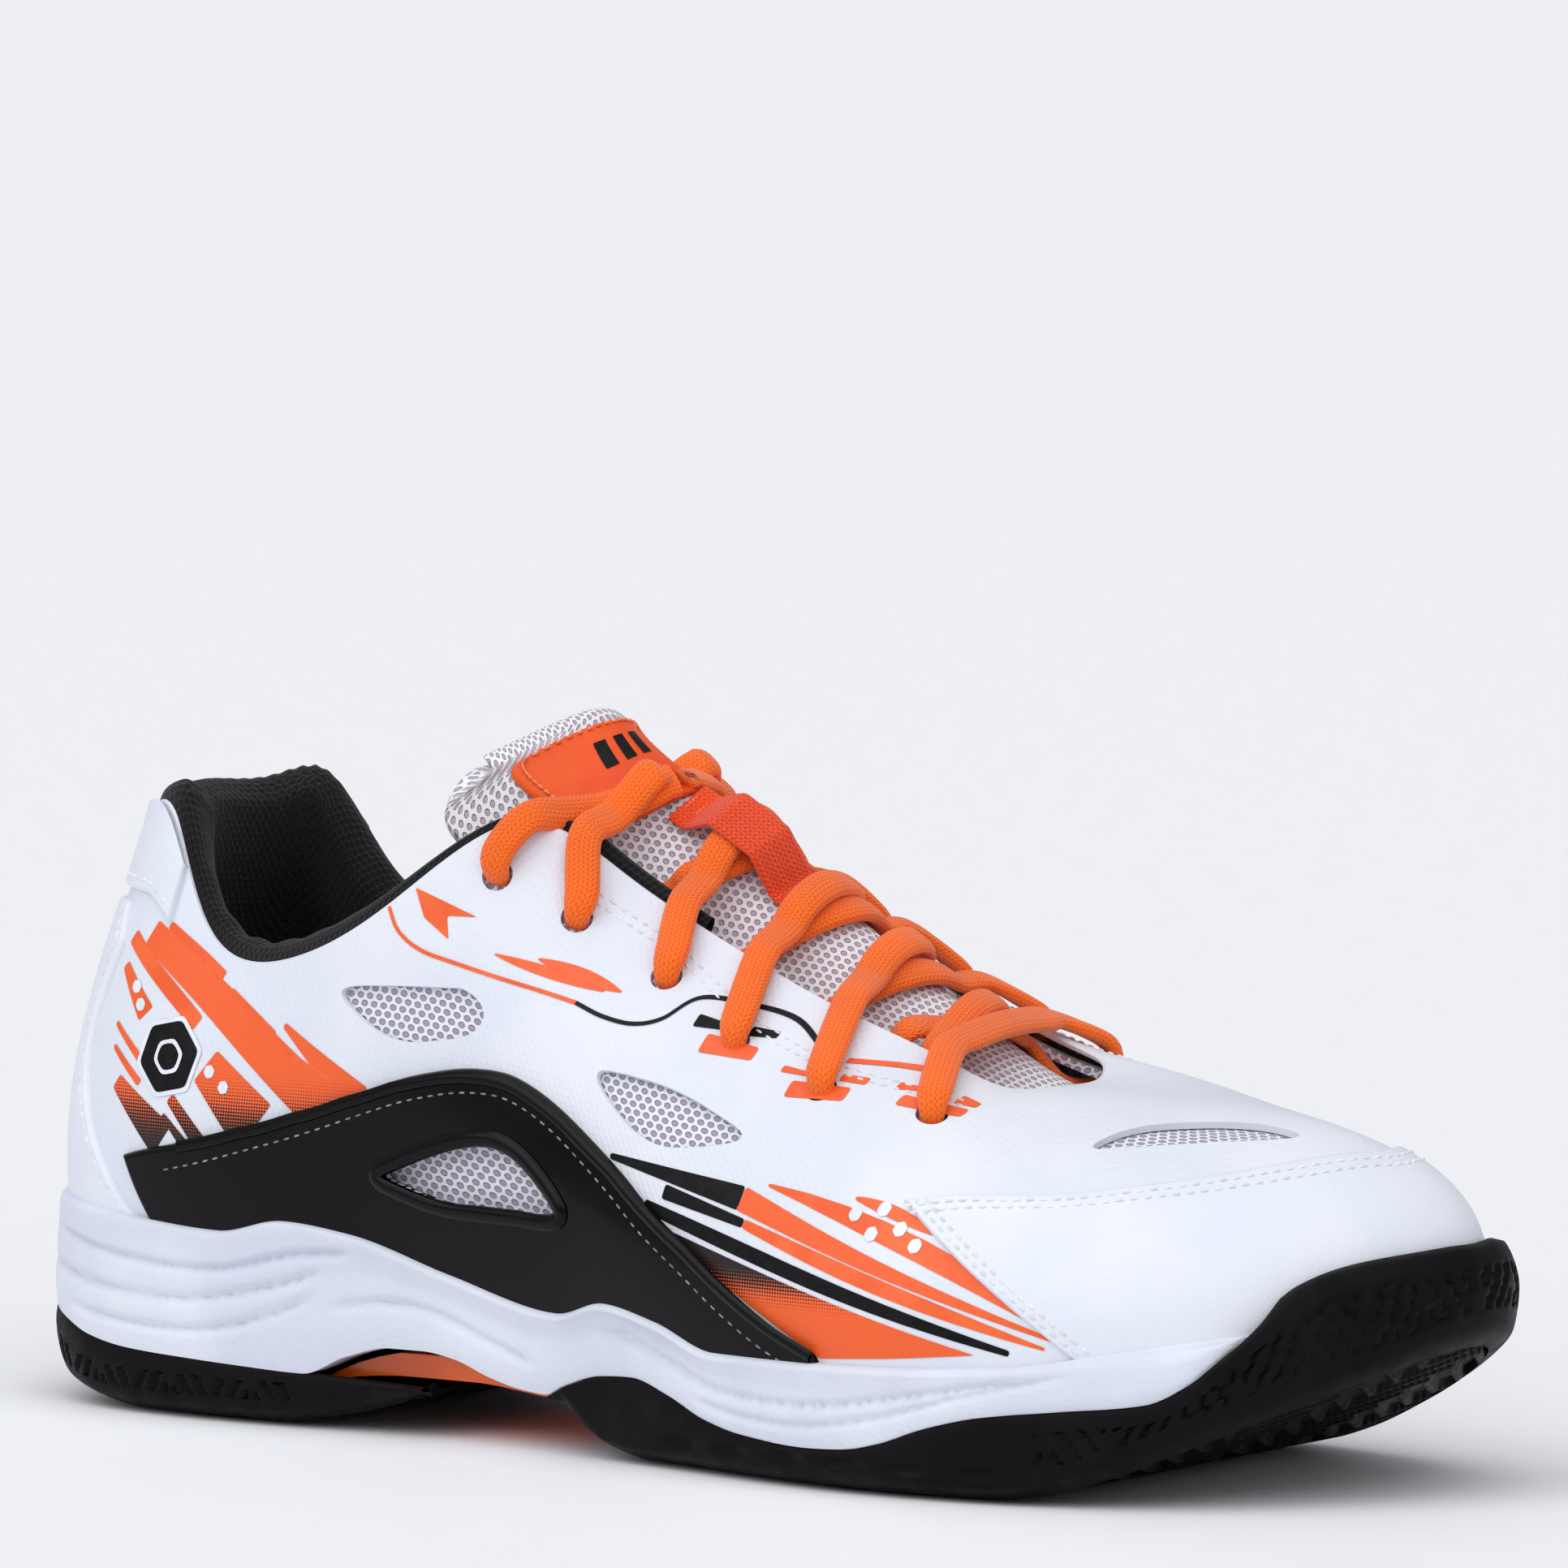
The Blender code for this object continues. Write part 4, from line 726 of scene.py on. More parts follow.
u = np.arange(0, TURN, 1 / 28)
foot = upper(u, 0 * u)
rim_z = height(RIM, foot[:, 0])
line_z = height(SIDE_LINE, sole_edge(u)[:, 0]) + 0.15
bare = np.clip((rim_z - line_z) / 8, 0, 1)
share = rib_share(u, rim_z)
lip = wall(u, share, 0.1)
out = outward(u, share)[:, :2]
out = out / np.linalg.norm(out, axis=-1, keepdims=True)
covered = sole_edge(u, 3.6)
side = bare[:, None]
low = np.minimum(line_z, rim_z - 0.4)
lip_out = (lip[:, :2] + out * 2.4) * side + covered * (1 - side)


def foam_side(inset):
    """The foam's outline, drawn in where the toe bumper covers it."""
    return sole_edge(u, inset) * side + covered * (1 - side)


keys = [
    at_height(wall(u, share * 0.6, -0.4)[:, :2], rim_z - 4),
    at_height(wall(u, share, -0.2)[:, :2], rim_z - 0.3),
    at_height(lip[:, :2] + out * 0.7 * side, rim_z),
    at_height((lip[:, :2] + out * 1.7) * side + covered * (1 - side), rim_z - 0.15),
    at_height(lip_out, rim_z - 1.0),
    at_height(lip_out * 0.5 + 0.5 * foam_side(0.4), low + 0.8 * (rim_z - low)),
    at_height(foam_side(0.4), low + 0.62 * (rim_z - low)),
    at_height(foam_side(0), low + 0.25 * (rim_z - low)),
    at_height(foam_side(0.3), low + 0.4),
    at_height(foam_side(0.9), low),
    at_height(sole_edge(u, 4.4), low - 0.2),
    at_height(sole_edge(u, 16.0), low + 1.0),
]
places = np.concatenate([np.linspace(0, 4, 13), np.linspace(4, 8, 46)[1:], np.linspace(8, 11, 9)[1:]])
grid = np.stack([open_curve(np.array(keys)[:, i], places) for i in range(len(u))])
grid = grooved(grid, -grid_normals(grid), GROOVES)
midsole = skin("midsole_foam_body", grid[:, ::-1], foam_white, closed=True, angle=70)
print("midsole", len(midsole.data.polygons), "faces")

# %% [markdown]
# The rubber outsole is pressed in a mould that also carries the sidewall's pattern. The heel part has
# a row of blocky ribs on its side, the forefoot long oval dimples, and the toe bumper a maze of short
# slanting bars. All of these are sunk under a millimetre. The ground side has herringbone bars.

# %% Outsole
HEEL_GROUND = ((0, 12), (4, 9), (8, 6.2), (15, 2.4), (25, 0.5), (32, 0), (64, 0), (78, 2), (90, 5), (96, 7.4))
TREAD_DEPTH = 1.4
FORE_GROUND = (
    (126, 8.4), (129, 7), (132, 4.6), (139, 1.1), (147, 0), (222, 0), (232, 1.3), (243, 4.6),
    (256, 10.4), (269, 17), (279, 22.5), (287, 27),
)


def block_pattern(run, z, pitch, tall, low):
    """0 or 1: slanted blocks along a sidewall, every other one turned the other way."""
    cell = np.floor(run / pitch)
    lean = np.where(cell % 2 < 1, 0.55, -0.55)
    across = (run / pitch - cell - 0.5) * pitch
    bar = np.abs(((across + lean * (z - low)) / 3.3 + 0.5) % 1.0 - 0.5) < 0.2
    inside = (np.abs(across) < 0.43 * pitch) & (z > low) & (z < low + tall)
    return (bar & inside).astype(float)


def dimple_pattern(run, z, pitch, tall, middle):
    across = ((run / pitch) % 1.0 - 0.5) * pitch
    return smooth_step(1.4 - np.hypot(across / (0.36 * pitch), (z - middle) / (0.5 * tall)) * 1.2)


def herringbone(grid):
    x, y = grid[..., 0], grid[..., 1]
    zigzag = np.abs((y / 14.0) % 2 - 1) * 7.0
    return smooth_step((np.abs(((x + zigzag) / 5.0) % 1 - 0.5) - 0.14) * 9)


def outsole(u, top, ground, low, inner, shoulder, top_edge):
    """The side of the rubber from its inner lip over the top edge and down to the tread edge."""
    keys = [
        at_height(inner, top - 1.6),
        at_height(shoulder, top),
        at_height(top_edge, top),
        at_height(sole_edge(u, 0.0), low + 0.55 * (top - low)),
        at_height(sole_edge(u, 0.5), low),
        at_height(sole_edge(u, 2.0), ground + 0.45 * (low - ground)),
        at_height(sole_edge(u, 5.0), ground),
    ]
    places = np.concatenate([[0, 1, 1.5], np.linspace(2, 5, 37), [5.4, 5.7, 6]])
    return np.stack([open_curve(np.array(keys)[:, i], places) for i in range(len(u))])


def pressed(grid, centre, depth, sunk):
    """The sidewall with its pattern sunk away from the outside, as seen from the centre of the part."""
    sunk = sunk * (np.arange(grid.shape[1]) < 40)
    normals = grid_normals(grid)
    flip = np.sign(((grid[..., :2] - np.array(centre)) * normals[..., :2]).sum(-1, keepdims=True))
    return grid - normals * flip * depth * sunk[..., None]


u = np.arange(5.38, -5.39, -1 / 36)
x = sole_edge(u)[:, 0]
top = np.minimum(height(SIDE_LINE[:8], x), 17.0)
top = np.where(x > 72, 9.2 - 0.035 * (x - 72), top)
ground = height(HEEL_GROUND, sole_edge(u, 5)[:, 0])
foot_rise = np.clip((96 - x) / 10, 0.25, 1) * 3
low = np.minimum(height(HEEL_GROUND, sole_edge(u, 0.8)[:, 0]) + foot_rise, top - 0.6)
inner, top_edge = sole_edge(u, 3.2), sole_edge(u, 0.5)
grid = outsole(u, top, ground, low, inner, inner * 0.5 + top_edge * 0.5, top_edge)
run = lengths(sole_edge(u)[:, None], 0)
sunk = block_pattern(run + 0 * grid[..., 0], grid[..., 2], 9.0, 3.4, (low + 0.8)[:, None])
grid = pressed(grid, (60.0, 0.0), 0.7, sunk * ((x > 4) & (x < 70))[:, None])
heel_skin = skin("outsole_heel_skin", grid, rubber_black, angle=50)

bottom_x = np.linspace(2, 96, 150)
half = len(u) // 2
lateral_edge, medial_edge = sole_edge(u[:half], 5)[::-1], sole_edge(u[half:], 5)
lateral_y = np.interp(bottom_x, lateral_edge[:, 0], lateral_edge[:, 1])
medial_y = np.interp(bottom_x, medial_edge[:, 0], medial_edge[:, 1])


def tread(name, bottom_x, lateral_y, medial_y, ground):
    """The ground side between the two edges of the sole, with the grooves between its bars sunk."""
    f = np.linspace(0, 1, 110)[None, :]
    y = lateral_y[:, None] * (1 - f) + medial_y[:, None] * f
    x = bottom_x[:, None] + 0 * f
    grid = np.stack([x, y, height(ground, x)], axis=-1)
    border = np.minimum(np.minimum(f, 1 - f) * 60, 1.0)
    grid[..., 2] += herringbone(grid) * TREAD_DEPTH * border
    return skin(name, grid[::-1], rubber_black, angle=50)


heel_tread = tread("outsole_heel_tread", bottom_x, lateral_y, medial_y, HEEL_GROUND)

u = np.arange(6.667, TURN - 6.66, 1 / 36)
x = sole_edge(u)[:, 0]
top = height(SIDE_LINE, x)
rim_z = height(RIM, upper(u, 0 * u)[:, 0])
bumper = np.clip((top - rim_z - 0.3) / 5, 0, 1)[:, None]
ground = height(FORE_GROUND, sole_edge(u, 5)[:, 0])
low = np.minimum(height(FORE_GROUND, sole_edge(u, 0.8)[:, 0]) + 3, top - 0.8)
share = rib_share(u, top)
onto, onto_outer = wall(u, share, 0.6)[:, :2], wall(u, share, 4.4)[:, :2]
top_edge = sole_edge(u, 0.5) * (1 - bumper) + onto_outer * bumper
inner = sole_edge(u, 2.6) * (1 - bumper) + onto * bumper
grid = outsole(u, top, ground, low, inner, inner, top_edge)
run = lengths(sole_edge(u)[:, None], 0)
z = grid[..., 2]
front = ((x > 232) * 1.0)[:, None]
flank = ((x > 150) & (x < 228))[:, None]
sunk = block_pattern(run + 0 * z, z, 11.0, 30.0, (low + 1.5)[:, None]) * front * (z < (top - 3.0)[:, None])
sunk += dimple_pattern(run + 0 * z, z, 13.0, 2.6, (low + 1.6)[:, None]) * (1 - front) * flank
grid = pressed(grid, (200.0, 0.0), 0.8, np.clip(sunk, 0, 1))
fore_skin = skin("outsole_fore_skin", grid[::-1], rubber_black, angle=50)
edge = sole_edge(u, 5)
bottom_x = np.linspace(127, 281, 230)
front_at = int(edge[:, 0].argmax())
lateral_y = np.interp(bottom_x, edge[:front_at, 0], edge[:front_at, 1])
medial_y = np.interp(bottom_x, edge[front_at:, 0][::-1], edge[front_at:, 1][::-1])
fore_tread = tread("outsole_fore_tread", bottom_x, lateral_y, medial_y, FORE_GROUND)
print("outsole", sum(len(o.data.polygons) for o in (heel_skin, fore_skin, heel_tread, fore_tread)), "faces")

# %% [markdown]
# The shell is one piece of white synthetic with cut windows: three on each side, a vent each side of
# the toe, and six punched eyelets each side of the throat. It has a real thickness, so the cut edges
# show. All the cutters are joined first, as one boolean is much quicker than twenty.

# %% Upper shell with its windows
WINDOWS = {
    "collar": ((75, 76.5), (111, 74.5), (107, 68.5), (90, 66.5)),
    "quarter": ((130.5, 66.2), (151, 63.5), (170.5, 56), (147.2, 53.2)),
    "saddle": ((86, 44.5), (102, 50.3), (118.5, 52), (131.5, 41.5), (127, 39.3), (103, 39.6)),
}
SKIN_THICK, EYELET_BORE = 1.2, 5.6
WINDOW_ROUND = 0.35  # how far a window's corners are rounded, in ribs
TOE_VENT = ((224, -26.5), (229, -15), (243, -2.5), (254.5, -0.5), (246, -11))
LATERAL_EYELETS = ((5.94, 0.89), (6.79, 0.85), (7.70, 0.86), (8.46, 0.81), (9.32, 0.78), (10.28, 0.79))
MEDIAL_EYELETS = ((5.94, 0.89), (6.79, 0.85), (7.68, 0.87), (8.4, 0.84), (9.15, 0.83), (9.95, 0.85))


def window_outline(name, side):
    corners = np.array(WINDOWS[name], float)
    u, t = on_side(corners, side)
    return rounded(np.stack([u, t], axis=1), WINDOW_ROUND, 8)


def prism(name, outline, low, high):
    count = len(outline)
    points = np.concatenate([wall(*outline.T, low), wall(*outline.T, high)])
    faces = [(k, (k + 1) % count, (k + 1) % count + count, k + count) for k in range(count)]
    faces += [tuple(range(count)), tuple(range(count, 2 * count))]
    made = finish_mesh(name, points, faces, skin_white)
    weld(made)
    return made


def bore(name, u, t, diameter):
    axis, centre = outward(u, t), upper(u, t)
    across = np.cross(axis, (0, 0, 1.0))
    across = across / np.linalg.norm(across)
    turn = np.linspace(0, 2 * np.pi, 24, endpoint=False)[:, None]
    ring = diameter / 2 * (np.cos(turn) * across + np.sin(turn) * np.cross(axis, across))
    points = np.concatenate([centre + axis * -3.6 + ring, centre + axis * 3 + ring])
    faces = [(k, (k + 1) % 24, (k + 1) % 24 + 24, k + 24) for k in range(24)]
    faces += [tuple(range(24)), tuple(range(24, 48))]
    made = finish_mesh(name, points, faces, skin_white)
    weld(made)
    return made


def carve(target, cutters):
    for cutter in cutters:
        boolean = target.modifiers.new("cut", "BOOLEAN")
        boolean.operation = "DIFFERENCE"
        boolean.solver = "EXACT"
        boolean.object = cutter
    bpy.context.view_layer.objects.active = target
    for modifier in list(target.modifiers):
        bpy.ops.object.modifier_apply(modifier=modifier.name)


def shell_grid(u, t, distance):
    grid_u, grid_t = np.meshgrid(u, t, indexing="ij")
    return wall(grid_u, grid_t, distance)


u = np.arange(0, TURN, 1 / 14)
t = np.concatenate([np.linspace(0.02, 0.94, 44), [0.96, 0.975, 0.985, 0.993, 0.998]])
outer = shell_grid(u, t, 0.0)
top_edge = np.stack([wall(u, 1 + 0 * u, -0.45, 0.25), wall(u, 1 + 0 * u, -0.95, 0.1)], axis=1)
inner = shell_grid(u, t[::-1], -SKIN_THICK)
section = np.concatenate([outer, top_edge, inner, outer[:, :1]], axis=1)
shell = skin("upper_skin", section, skin_white, closed=True, angle=50)
weld(shell)
cutters = []
for side in ("lateral", "medial"):
    for name in WINDOWS:
        cutters.append(prism("cutter", window_outline(name, side), -4.0, 5.0))
    corners = [(px, py if side == "lateral" else 13.0 - py) for px, py in TOE_VENT]
    vu, vt = locate(corners, [0, 1], (10.5, 13.2) if side == "lateral" else (12.8, 15.5))
    cutters.append(prism("cutter", rounded(np.stack([vu, vt], axis=1), WINDOW_ROUND, 8), -4.0, 3.0))
eyelets = [*LATERAL_EYELETS, *((TURN - eu, et) for eu, et in MEDIAL_EYELETS)]
cutters += [bore("cutter", eu, et, EYELET_BORE) for eu, et in eyelets]
openings = len(cutters)
cutter = join("cutter", cutters)
carve(shell, [cutter])
bpy.data.objects.remove(cutter, do_unlink=True)
shell.data.set_sharp_from_angle(angle=np.radians(40))
print("shell", len(shell.data.polygons), "faces,", openings, "openings")

# %% [markdown]
# Behind the windows lies the spacer mesh, one soft layer just under the whole shell, so that each
# window looks down on it a little.

# %% Window mesh
u = np.arange(0, TURN, 1 / 8)
t = np.linspace(0.04, 0.96, 48)
MESH_DEPTH = SKIN_THICK + 0.25
under = skin("window_mesh_layer", shell_grid(u, t, -MESH_DEPTH), window_mesh, closed=True, angle=70)
print("mesh layer", len(under.data.polygons), "faces")

# %% [markdown]
# Panels are laid over the shell: cut from sheet, edges folded or moulded down, then stitched. Each one
# is a grid between a low and a high line; its height falls away at the border, so the edge is rounded.

# %% Panels over the shell


def spread(count):
    """0 to 1 with the places crowded towards both ends, where the edge rounds."""
    f = np.linspace(-1, 1, count)
    return 0.5 + 0.5 * np.sign(f) * (1 - (1 - np.abs(f)) ** 1.6)


def rim_places(u):
    """Places just under the lip of the midsole."""
    u = np.asarray(u, float)
    z = height(RIM, upper(u, 0 * u)[:, 0]) - 1.5
    return np.stack([u, rib_share(u, z)], axis=1)


def panel(name, low, high, columns, rows, thick, edge, material, waist=None, sides=(1, 1, 1, 1)):
    """sides: rear, front, low, high; 1 where that edge rounds down to the shell, 0 where it runs under."""
    f = spread(columns)
    low = open_curve(low, f * (len(low) - 1))
    high = open_curve(high, f * (len(high) - 1))
    g = spread(rows)[None, :, None]
    places = low[:, None] * (1 - g) + high[:, None] * g
    if waist is not None:
        places[..., 0] = waist(places[..., 0], g[..., 0], low[:, :1])
    flat = wall(places[..., 0], places[..., 1])
    across, along = lengths(flat, 0), lengths(flat, 1)
    far = np.full(flat.shape[:2], 99.0)
    for wanted, d in zip(sides, (across, across[-1:] - across, along, along[:, -1:] - along)):
        if wanted:
            far = np.minimum(far, d)
    rise = thick * (1 - np.clip(1 - far / edge, 0, 1) ** 2.2) ** 0.5 - 0.12
    grid = wall(places[..., 0], places[..., 1], rise)
    uv = np.stack([across[:, [rows // 2]] + 0 * along, along], axis=-1)
    made = skin(name, grid, material, uv=uv, angle=70)
    middle = made.data.polygons[len(made.data.polygons) // 2]
    if np.dot(middle.normal, outward(places[columns // 2, rows // 2, 0], 0.5)) < 0:
        made.data.flip_normals()
    return made, places


def mirrored(side, middle, about=0.0):
    """A line of (u, t) of one side, its middle point, and the same line on the other side."""
    return [*side, middle, *((about - a, b) for a, b in reversed(side))]


SADDLE_TOP = (
    (31, 44.5), (45, 47.6), (58.6, 50.8), (70, 54), (81.7, 57.8), (92, 61.2), (101, 63.3),
    (109.7, 64.2), (118.4, 63), (129.5, 57.5), (141.8, 49.7), (150.2, 43.6), (160.4, 37.5),
    (170.2, 31.3), (179.5, 26.2), (189, 22.2),
)
UNDER_LIP = (1, 1, 0, 1)  # a panel whose low edge runs under the lip of the midsole
saddles, saddle_places = {}, {}
for side in ("lateral", "medial"):
    high = np.stack(on_side(SADDLE_TOP, side), axis=1)
    lean = 0.36 if side == "lateral" else -0.36
    low = rim_places(np.linspace(high[0, 0] + lean, high[-1, 0] + lean * 0.1, len(high)))
    made, _ = panel(f"saddle_{side}_skin", low, high, 230, 56, 1.6, 1.3, film_black, sides=UNDER_LIP)
    cutter = prism("cutter", window_outline("saddle", side), -3.0, 6.0)
    carve(made, [cutter])
    bpy.data.objects.remove(cutter, do_unlink=True)
    saddles[side] = made
    saddle_places[side] = (low, high)

lateral_high = ((10.15, 0.52), (10.5, 0.545), (10.92, 0.55), (11.57, 0.535), (12.07, 0.53), (12.67, 0.565))
cap_high = mirrored(lateral_high, (13.0, 0.565), TURN)
cap_low = rim_places(np.linspace(11.15, TURN - 11.15, len(cap_high)))
toe_cap, _ = panel("toe_cap_skin", cap_low, cap_high, 200, 44, 1.15, 0.9, leather_white, sides=UNDER_LIP)

COUNTER_END = 2.72
counter_low = rim_places(np.linspace(COUNTER_END, -COUNTER_END, 9))
side_high = ((1.62, 0.76), (1.35, 0.765), (1.0, 0.77), (0.5, 0.775))
counter_high = mirrored(side_high, (0.0, 0.78))


def counter_waist(u, g, low_u):
    """The counter's sides draw in between its foot and its top."""
    waist = 0.42 * np.sin(np.pi * np.clip(g * 1.15, 0, 1))
    return u * (1 - waist * np.abs(low_u) / COUNTER_END * 0.62)


counter_lines = counter_low, counter_high
counter, _ = panel(
    "heel_counter_skin", *counter_lines, 130, 70, 1.25, 1.0, leather_white, counter_waist, UNDER_LIP
)
tab_side = ((2.45, 0.845), (2.1, 0.82), (1.62, 0.79), (1.0, 0.80), (0.5, 0.805))
tab_low = mirrored(tab_side, (0.0, 0.81))
tab_high = [(a, 0.999) for a in np.linspace(2.45, -2.45, len(tab_low))]
tab, _ = panel("heel_tab_skin", tab_low, tab_high, 110, 40, 1.35, 1.1, leather_white, sides=(1, 1, 1, 0))
print("panels", [o.name for o in (*saddles.values(), toe_cap, counter, tab)])

# %% [markdown]
# The moulded film has a raised bead round its window and along its upper edge. A bead is a low round
# strip lying on the surface, so it is one profile swept along a line of places.

# %% Beads


def ring_profile(width, tall):
    """An oval of eight points, a quarter of it sunk in the surface."""
    turn = np.linspace(0, 2 * np.pi, 8, endpoint=False)
    return np.stack([width / 2 * np.cos(turn), tall / 2 * np.sin(turn) + tall * 0.25], axis=1)


def lace_profile(width, tall, count=16, power=0.75):
    turn = np.linspace(0, 2 * np.pi, count, endpoint=False)
    c, s = np.cos(turn), np.sin(turn)
    across, out = np.sign(c) * np.abs(c) ** power, np.sign(s) * np.abs(s) ** 0.9
    return np.stack([width / 2 * across, tall / 2 * out], axis=1)


def bead(name, u, t, width, tall, lift, material, closed=False):
    path = wall(u, t, lift)
    return sweep(name, path, outward(u, t), ring_profile(width, tall), material, closed)


beads = []
for side in ("lateral", "medial"):
    outline = window_outline("saddle", side)
    grown = outline.mean(0) + (outline - outline.mean(0)) * np.array([1.05, 1.09])
    beads.append(bead("saddle_bead_" + side, grown[:, 0], grown[:, 1], 3.0, 1.5, 1.3, film_black, True))
    low, high = saddle_places[side]
    inset = high * 0.955 + low * 0.045
    u_line, t_line = along_surface(inset[1:, 0], inset[1:, 1], 2.0)
    beads.append(bead("saddle_edge_" + side, u_line, t_line, 2.2, 1.1, 1.25, film_black))
print("beads", len(beads))

# %% [markdown]
# The collar is the softest part: a black mesh bag over foam, turned over the top edge and sewn down
# inside. Foam swells it between its seams, and it wrinkles a little where the collar curves in. Its
# front ends run on as a thin bound edge, under the laces. It is shaped from listed key lines, as its roll is
# exact.

# %% Collar


def collar_thickness(u):
    """1 at the heel, falling to 0.4 where the collar meets the laces."""
    near = np.abs(((u + 13.0) % TURN) - 13.0)
    f = np.clip((near - 4.2) / 2.0, 0, 1)
    return 1 - 0.6 * f * f * (3 - 2 * f)


u = np.linspace(7.75, -7.9, 430)
k = collar_thickness(u)
near = np.abs(u)
tail = smooth_step((near - 6.1) / 0.7)
one = 1 + 0 * u
k = k * (1 - 0.72 * tail)
wrinkle = 0.35 * np.sin(u * 17) * np.exp(-((near - 3.3) ** 2))
wrinkle = wrinkle + 0.2 * np.sin(u * 29 + 1.0) * np.exp(-((near - 1.6) ** 2))
wrinkle = wrinkle * (1 - tail)
keys = [
    wall(u, one, -0.9 - 1.0 * tail, -1.2),
    wall(u, one, -0.5 - 0.4 * tail, 0.7 + 0.4 * tail),
    wall(u, one, -0.9 * k - 0.2 - 0.4 * tail, 2.4 * k + 0.6 + 2.1 * tail),
    wall(u, one, -3.4 * k + wrinkle * 0.5 - 1.4 * tail, 3.9 * k + 0.5 + wrinkle + 2.9 * tail),
    wall(u, one, -6.4 * k + wrinkle * 0.5 - 2.6 * tail, 3.0 * k + 0.3 + wrinkle + 2.2 * tail),
    wall(u, one, -8.6 * k - 0.6 - 2.2 * tail, 0.0 + wrinkle * 0.6 + 0.3 * tail),
    wall(u, 0.86 * one, -8.8 * k - 1.6 - 1.4 * tail),
    wall(u, 0.66 * one, -6.4 * k - 2.2 - tail),
    wall(u, 0.42 * one, -1.2 * k - 5.0),
    wall(u, 0.22 * one, -5.6),
    wall(u, 0.06 * one, -5.5),
]
places = np.linspace(0, 10, 61)
grid = np.stack([open_curve(np.array(keys)[:, i], places) for i in range(len(u))])
collar = skin("collar_pad", grid[::-1], lining_black, angle=80)
print("collar", len(collar.data.polygons), "faces")

# %% [markdown]
# The tongue is foam between two meshes, quilted softer at its edges, with a bound top. Its face swells
# between the edge seams. The label is a soft film sewn on with a thread border; one low curved ridge
# is moulded near its foot, and three plain bars are printed on it.

# %% Tongue and label


def tongue_rows():
    """Rows up the tongue, each its lateral edge, its crown and its medial edge."""
    sides = (
        (10.75, 0.93, -7.6), (10.15, 0.9, -9.8), (9.35, 0.87, -10.4), (8.35, 0.86, -10.6),
        (7.45, 0.86, -10.6), (6.75, 0.87, -10.4),
    )
    crowns = (
        (203, 4, 61.2), (190, 5, 67.6), (172, 6, 78.4), (152, 6, 91.8), (134, 5, 104), (120, 3.5, 112.3),
    )
    rows = [((213, -6, 55), (217, 3.5, 55.5), (212, 12, 55.5))]
    for (u, t, distance), crown in zip(sides, crowns):
        rows.append((wall(u, t, distance), crown, wall(TURN - u, t, distance)))
    rows.append(((94.5, -25, 104), (110.5, 2, 118.8), (98.5, 25, 108)))
    rows.append(((95.5, -23, 111), (107, 2, 122), (99, 24, 115.5)))
    return np.array(rows, float)


TONGUE_ROWS = tongue_rows()


def tongue_face(v, a):
    """A point of the tongue's face: v counts rows up, a goes from -1 to 1 across."""
    rows = open_curve(TONGUE_ROWS, v)
    a = np.asarray(a, float)[..., None]
    crown = np.clip(1 - a * a, 0, 1) ** 1.45
    side = (1 - crown) / 2
    return rows[..., 0, :] * (side - a / 2) + rows[..., 1, :] * crown + rows[..., 2, :] * (side + a / 2)


def tongue_normal(v, a):
    along = tongue_face(np.clip(v + 0.02, 0, 8), a) - tongue_face(np.clip(v - 0.02, 0, 8), a)
    across = tongue_face(v, np.minimum(a + 0.02, 1)) - tongue_face(v, np.maximum(a - 0.02, -1))
    normal = np.cross(across, along)
    return normal / np.linalg.norm(normal, axis=-1, keepdims=True)


def on_tongue(v, a, distance):
    v, a = np.asarray(v, float), np.asarray(a, float)
    return tongue_face(v, a) + tongue_normal(v, a) * np.asarray(distance + 0 * a + 0 * v)[..., None]


v, a = np.meshgrid(np.linspace(0, 8, 150), np.linspace(-1, 1, 90), indexing="ij")
a = a * (1 - 0.22 * np.clip((v - 6.8) / 1.2, 0, 1) ** 2)
puff = 0.5 * np.cos(a * np.pi / 2) * smooth_step((v - 5.6) / 1.2)
face = on_tongue(v, a, puff)
thick = np.interp(v[:, 0], np.arange(9), (1.6, 2.2, 2.6, 3, 4, 5, 6.5, 7.5, 6.5))[:, None]
thick = thick * (0.12 + 0.88 * (1 - np.abs(a / a.max(1, keepdims=True)) ** 5) ** 0.5)
ring = np.concatenate([face, on_tongue(v, a, -thick)[:, ::-1]], axis=1)
middle = (face + on_tongue(v, a, -thick)) / 2
middle = np.concatenate([middle, middle[:, ::-1]], axis=1)[-1]
upward = frames_along(face[:, 45])[-1]
bends = np.linspace(0.2, np.pi / 2, 8)
round_top = [middle + (ring[-1] - middle) * np.cos(f) + upward * 3.0 * np.sin(f) for f in bends]
tongue_grid = np.concatenate([ring, np.stack(round_top)])
tongue = skin("tongue_pad", tongue_grid.transpose(1, 0, 2), tongue_mesh, closed=True, angle=80)
weld(tongue)


def label_place(f, g):
    """From 0 to 1 across (f) and up (g) the label, to the tongue's v and a."""
    a = -0.64 + 1.1 * f
    return (5.55 + 1.9 * a * a) * (1 - g) + (7.5 + 0.5 * a * a) * g, a


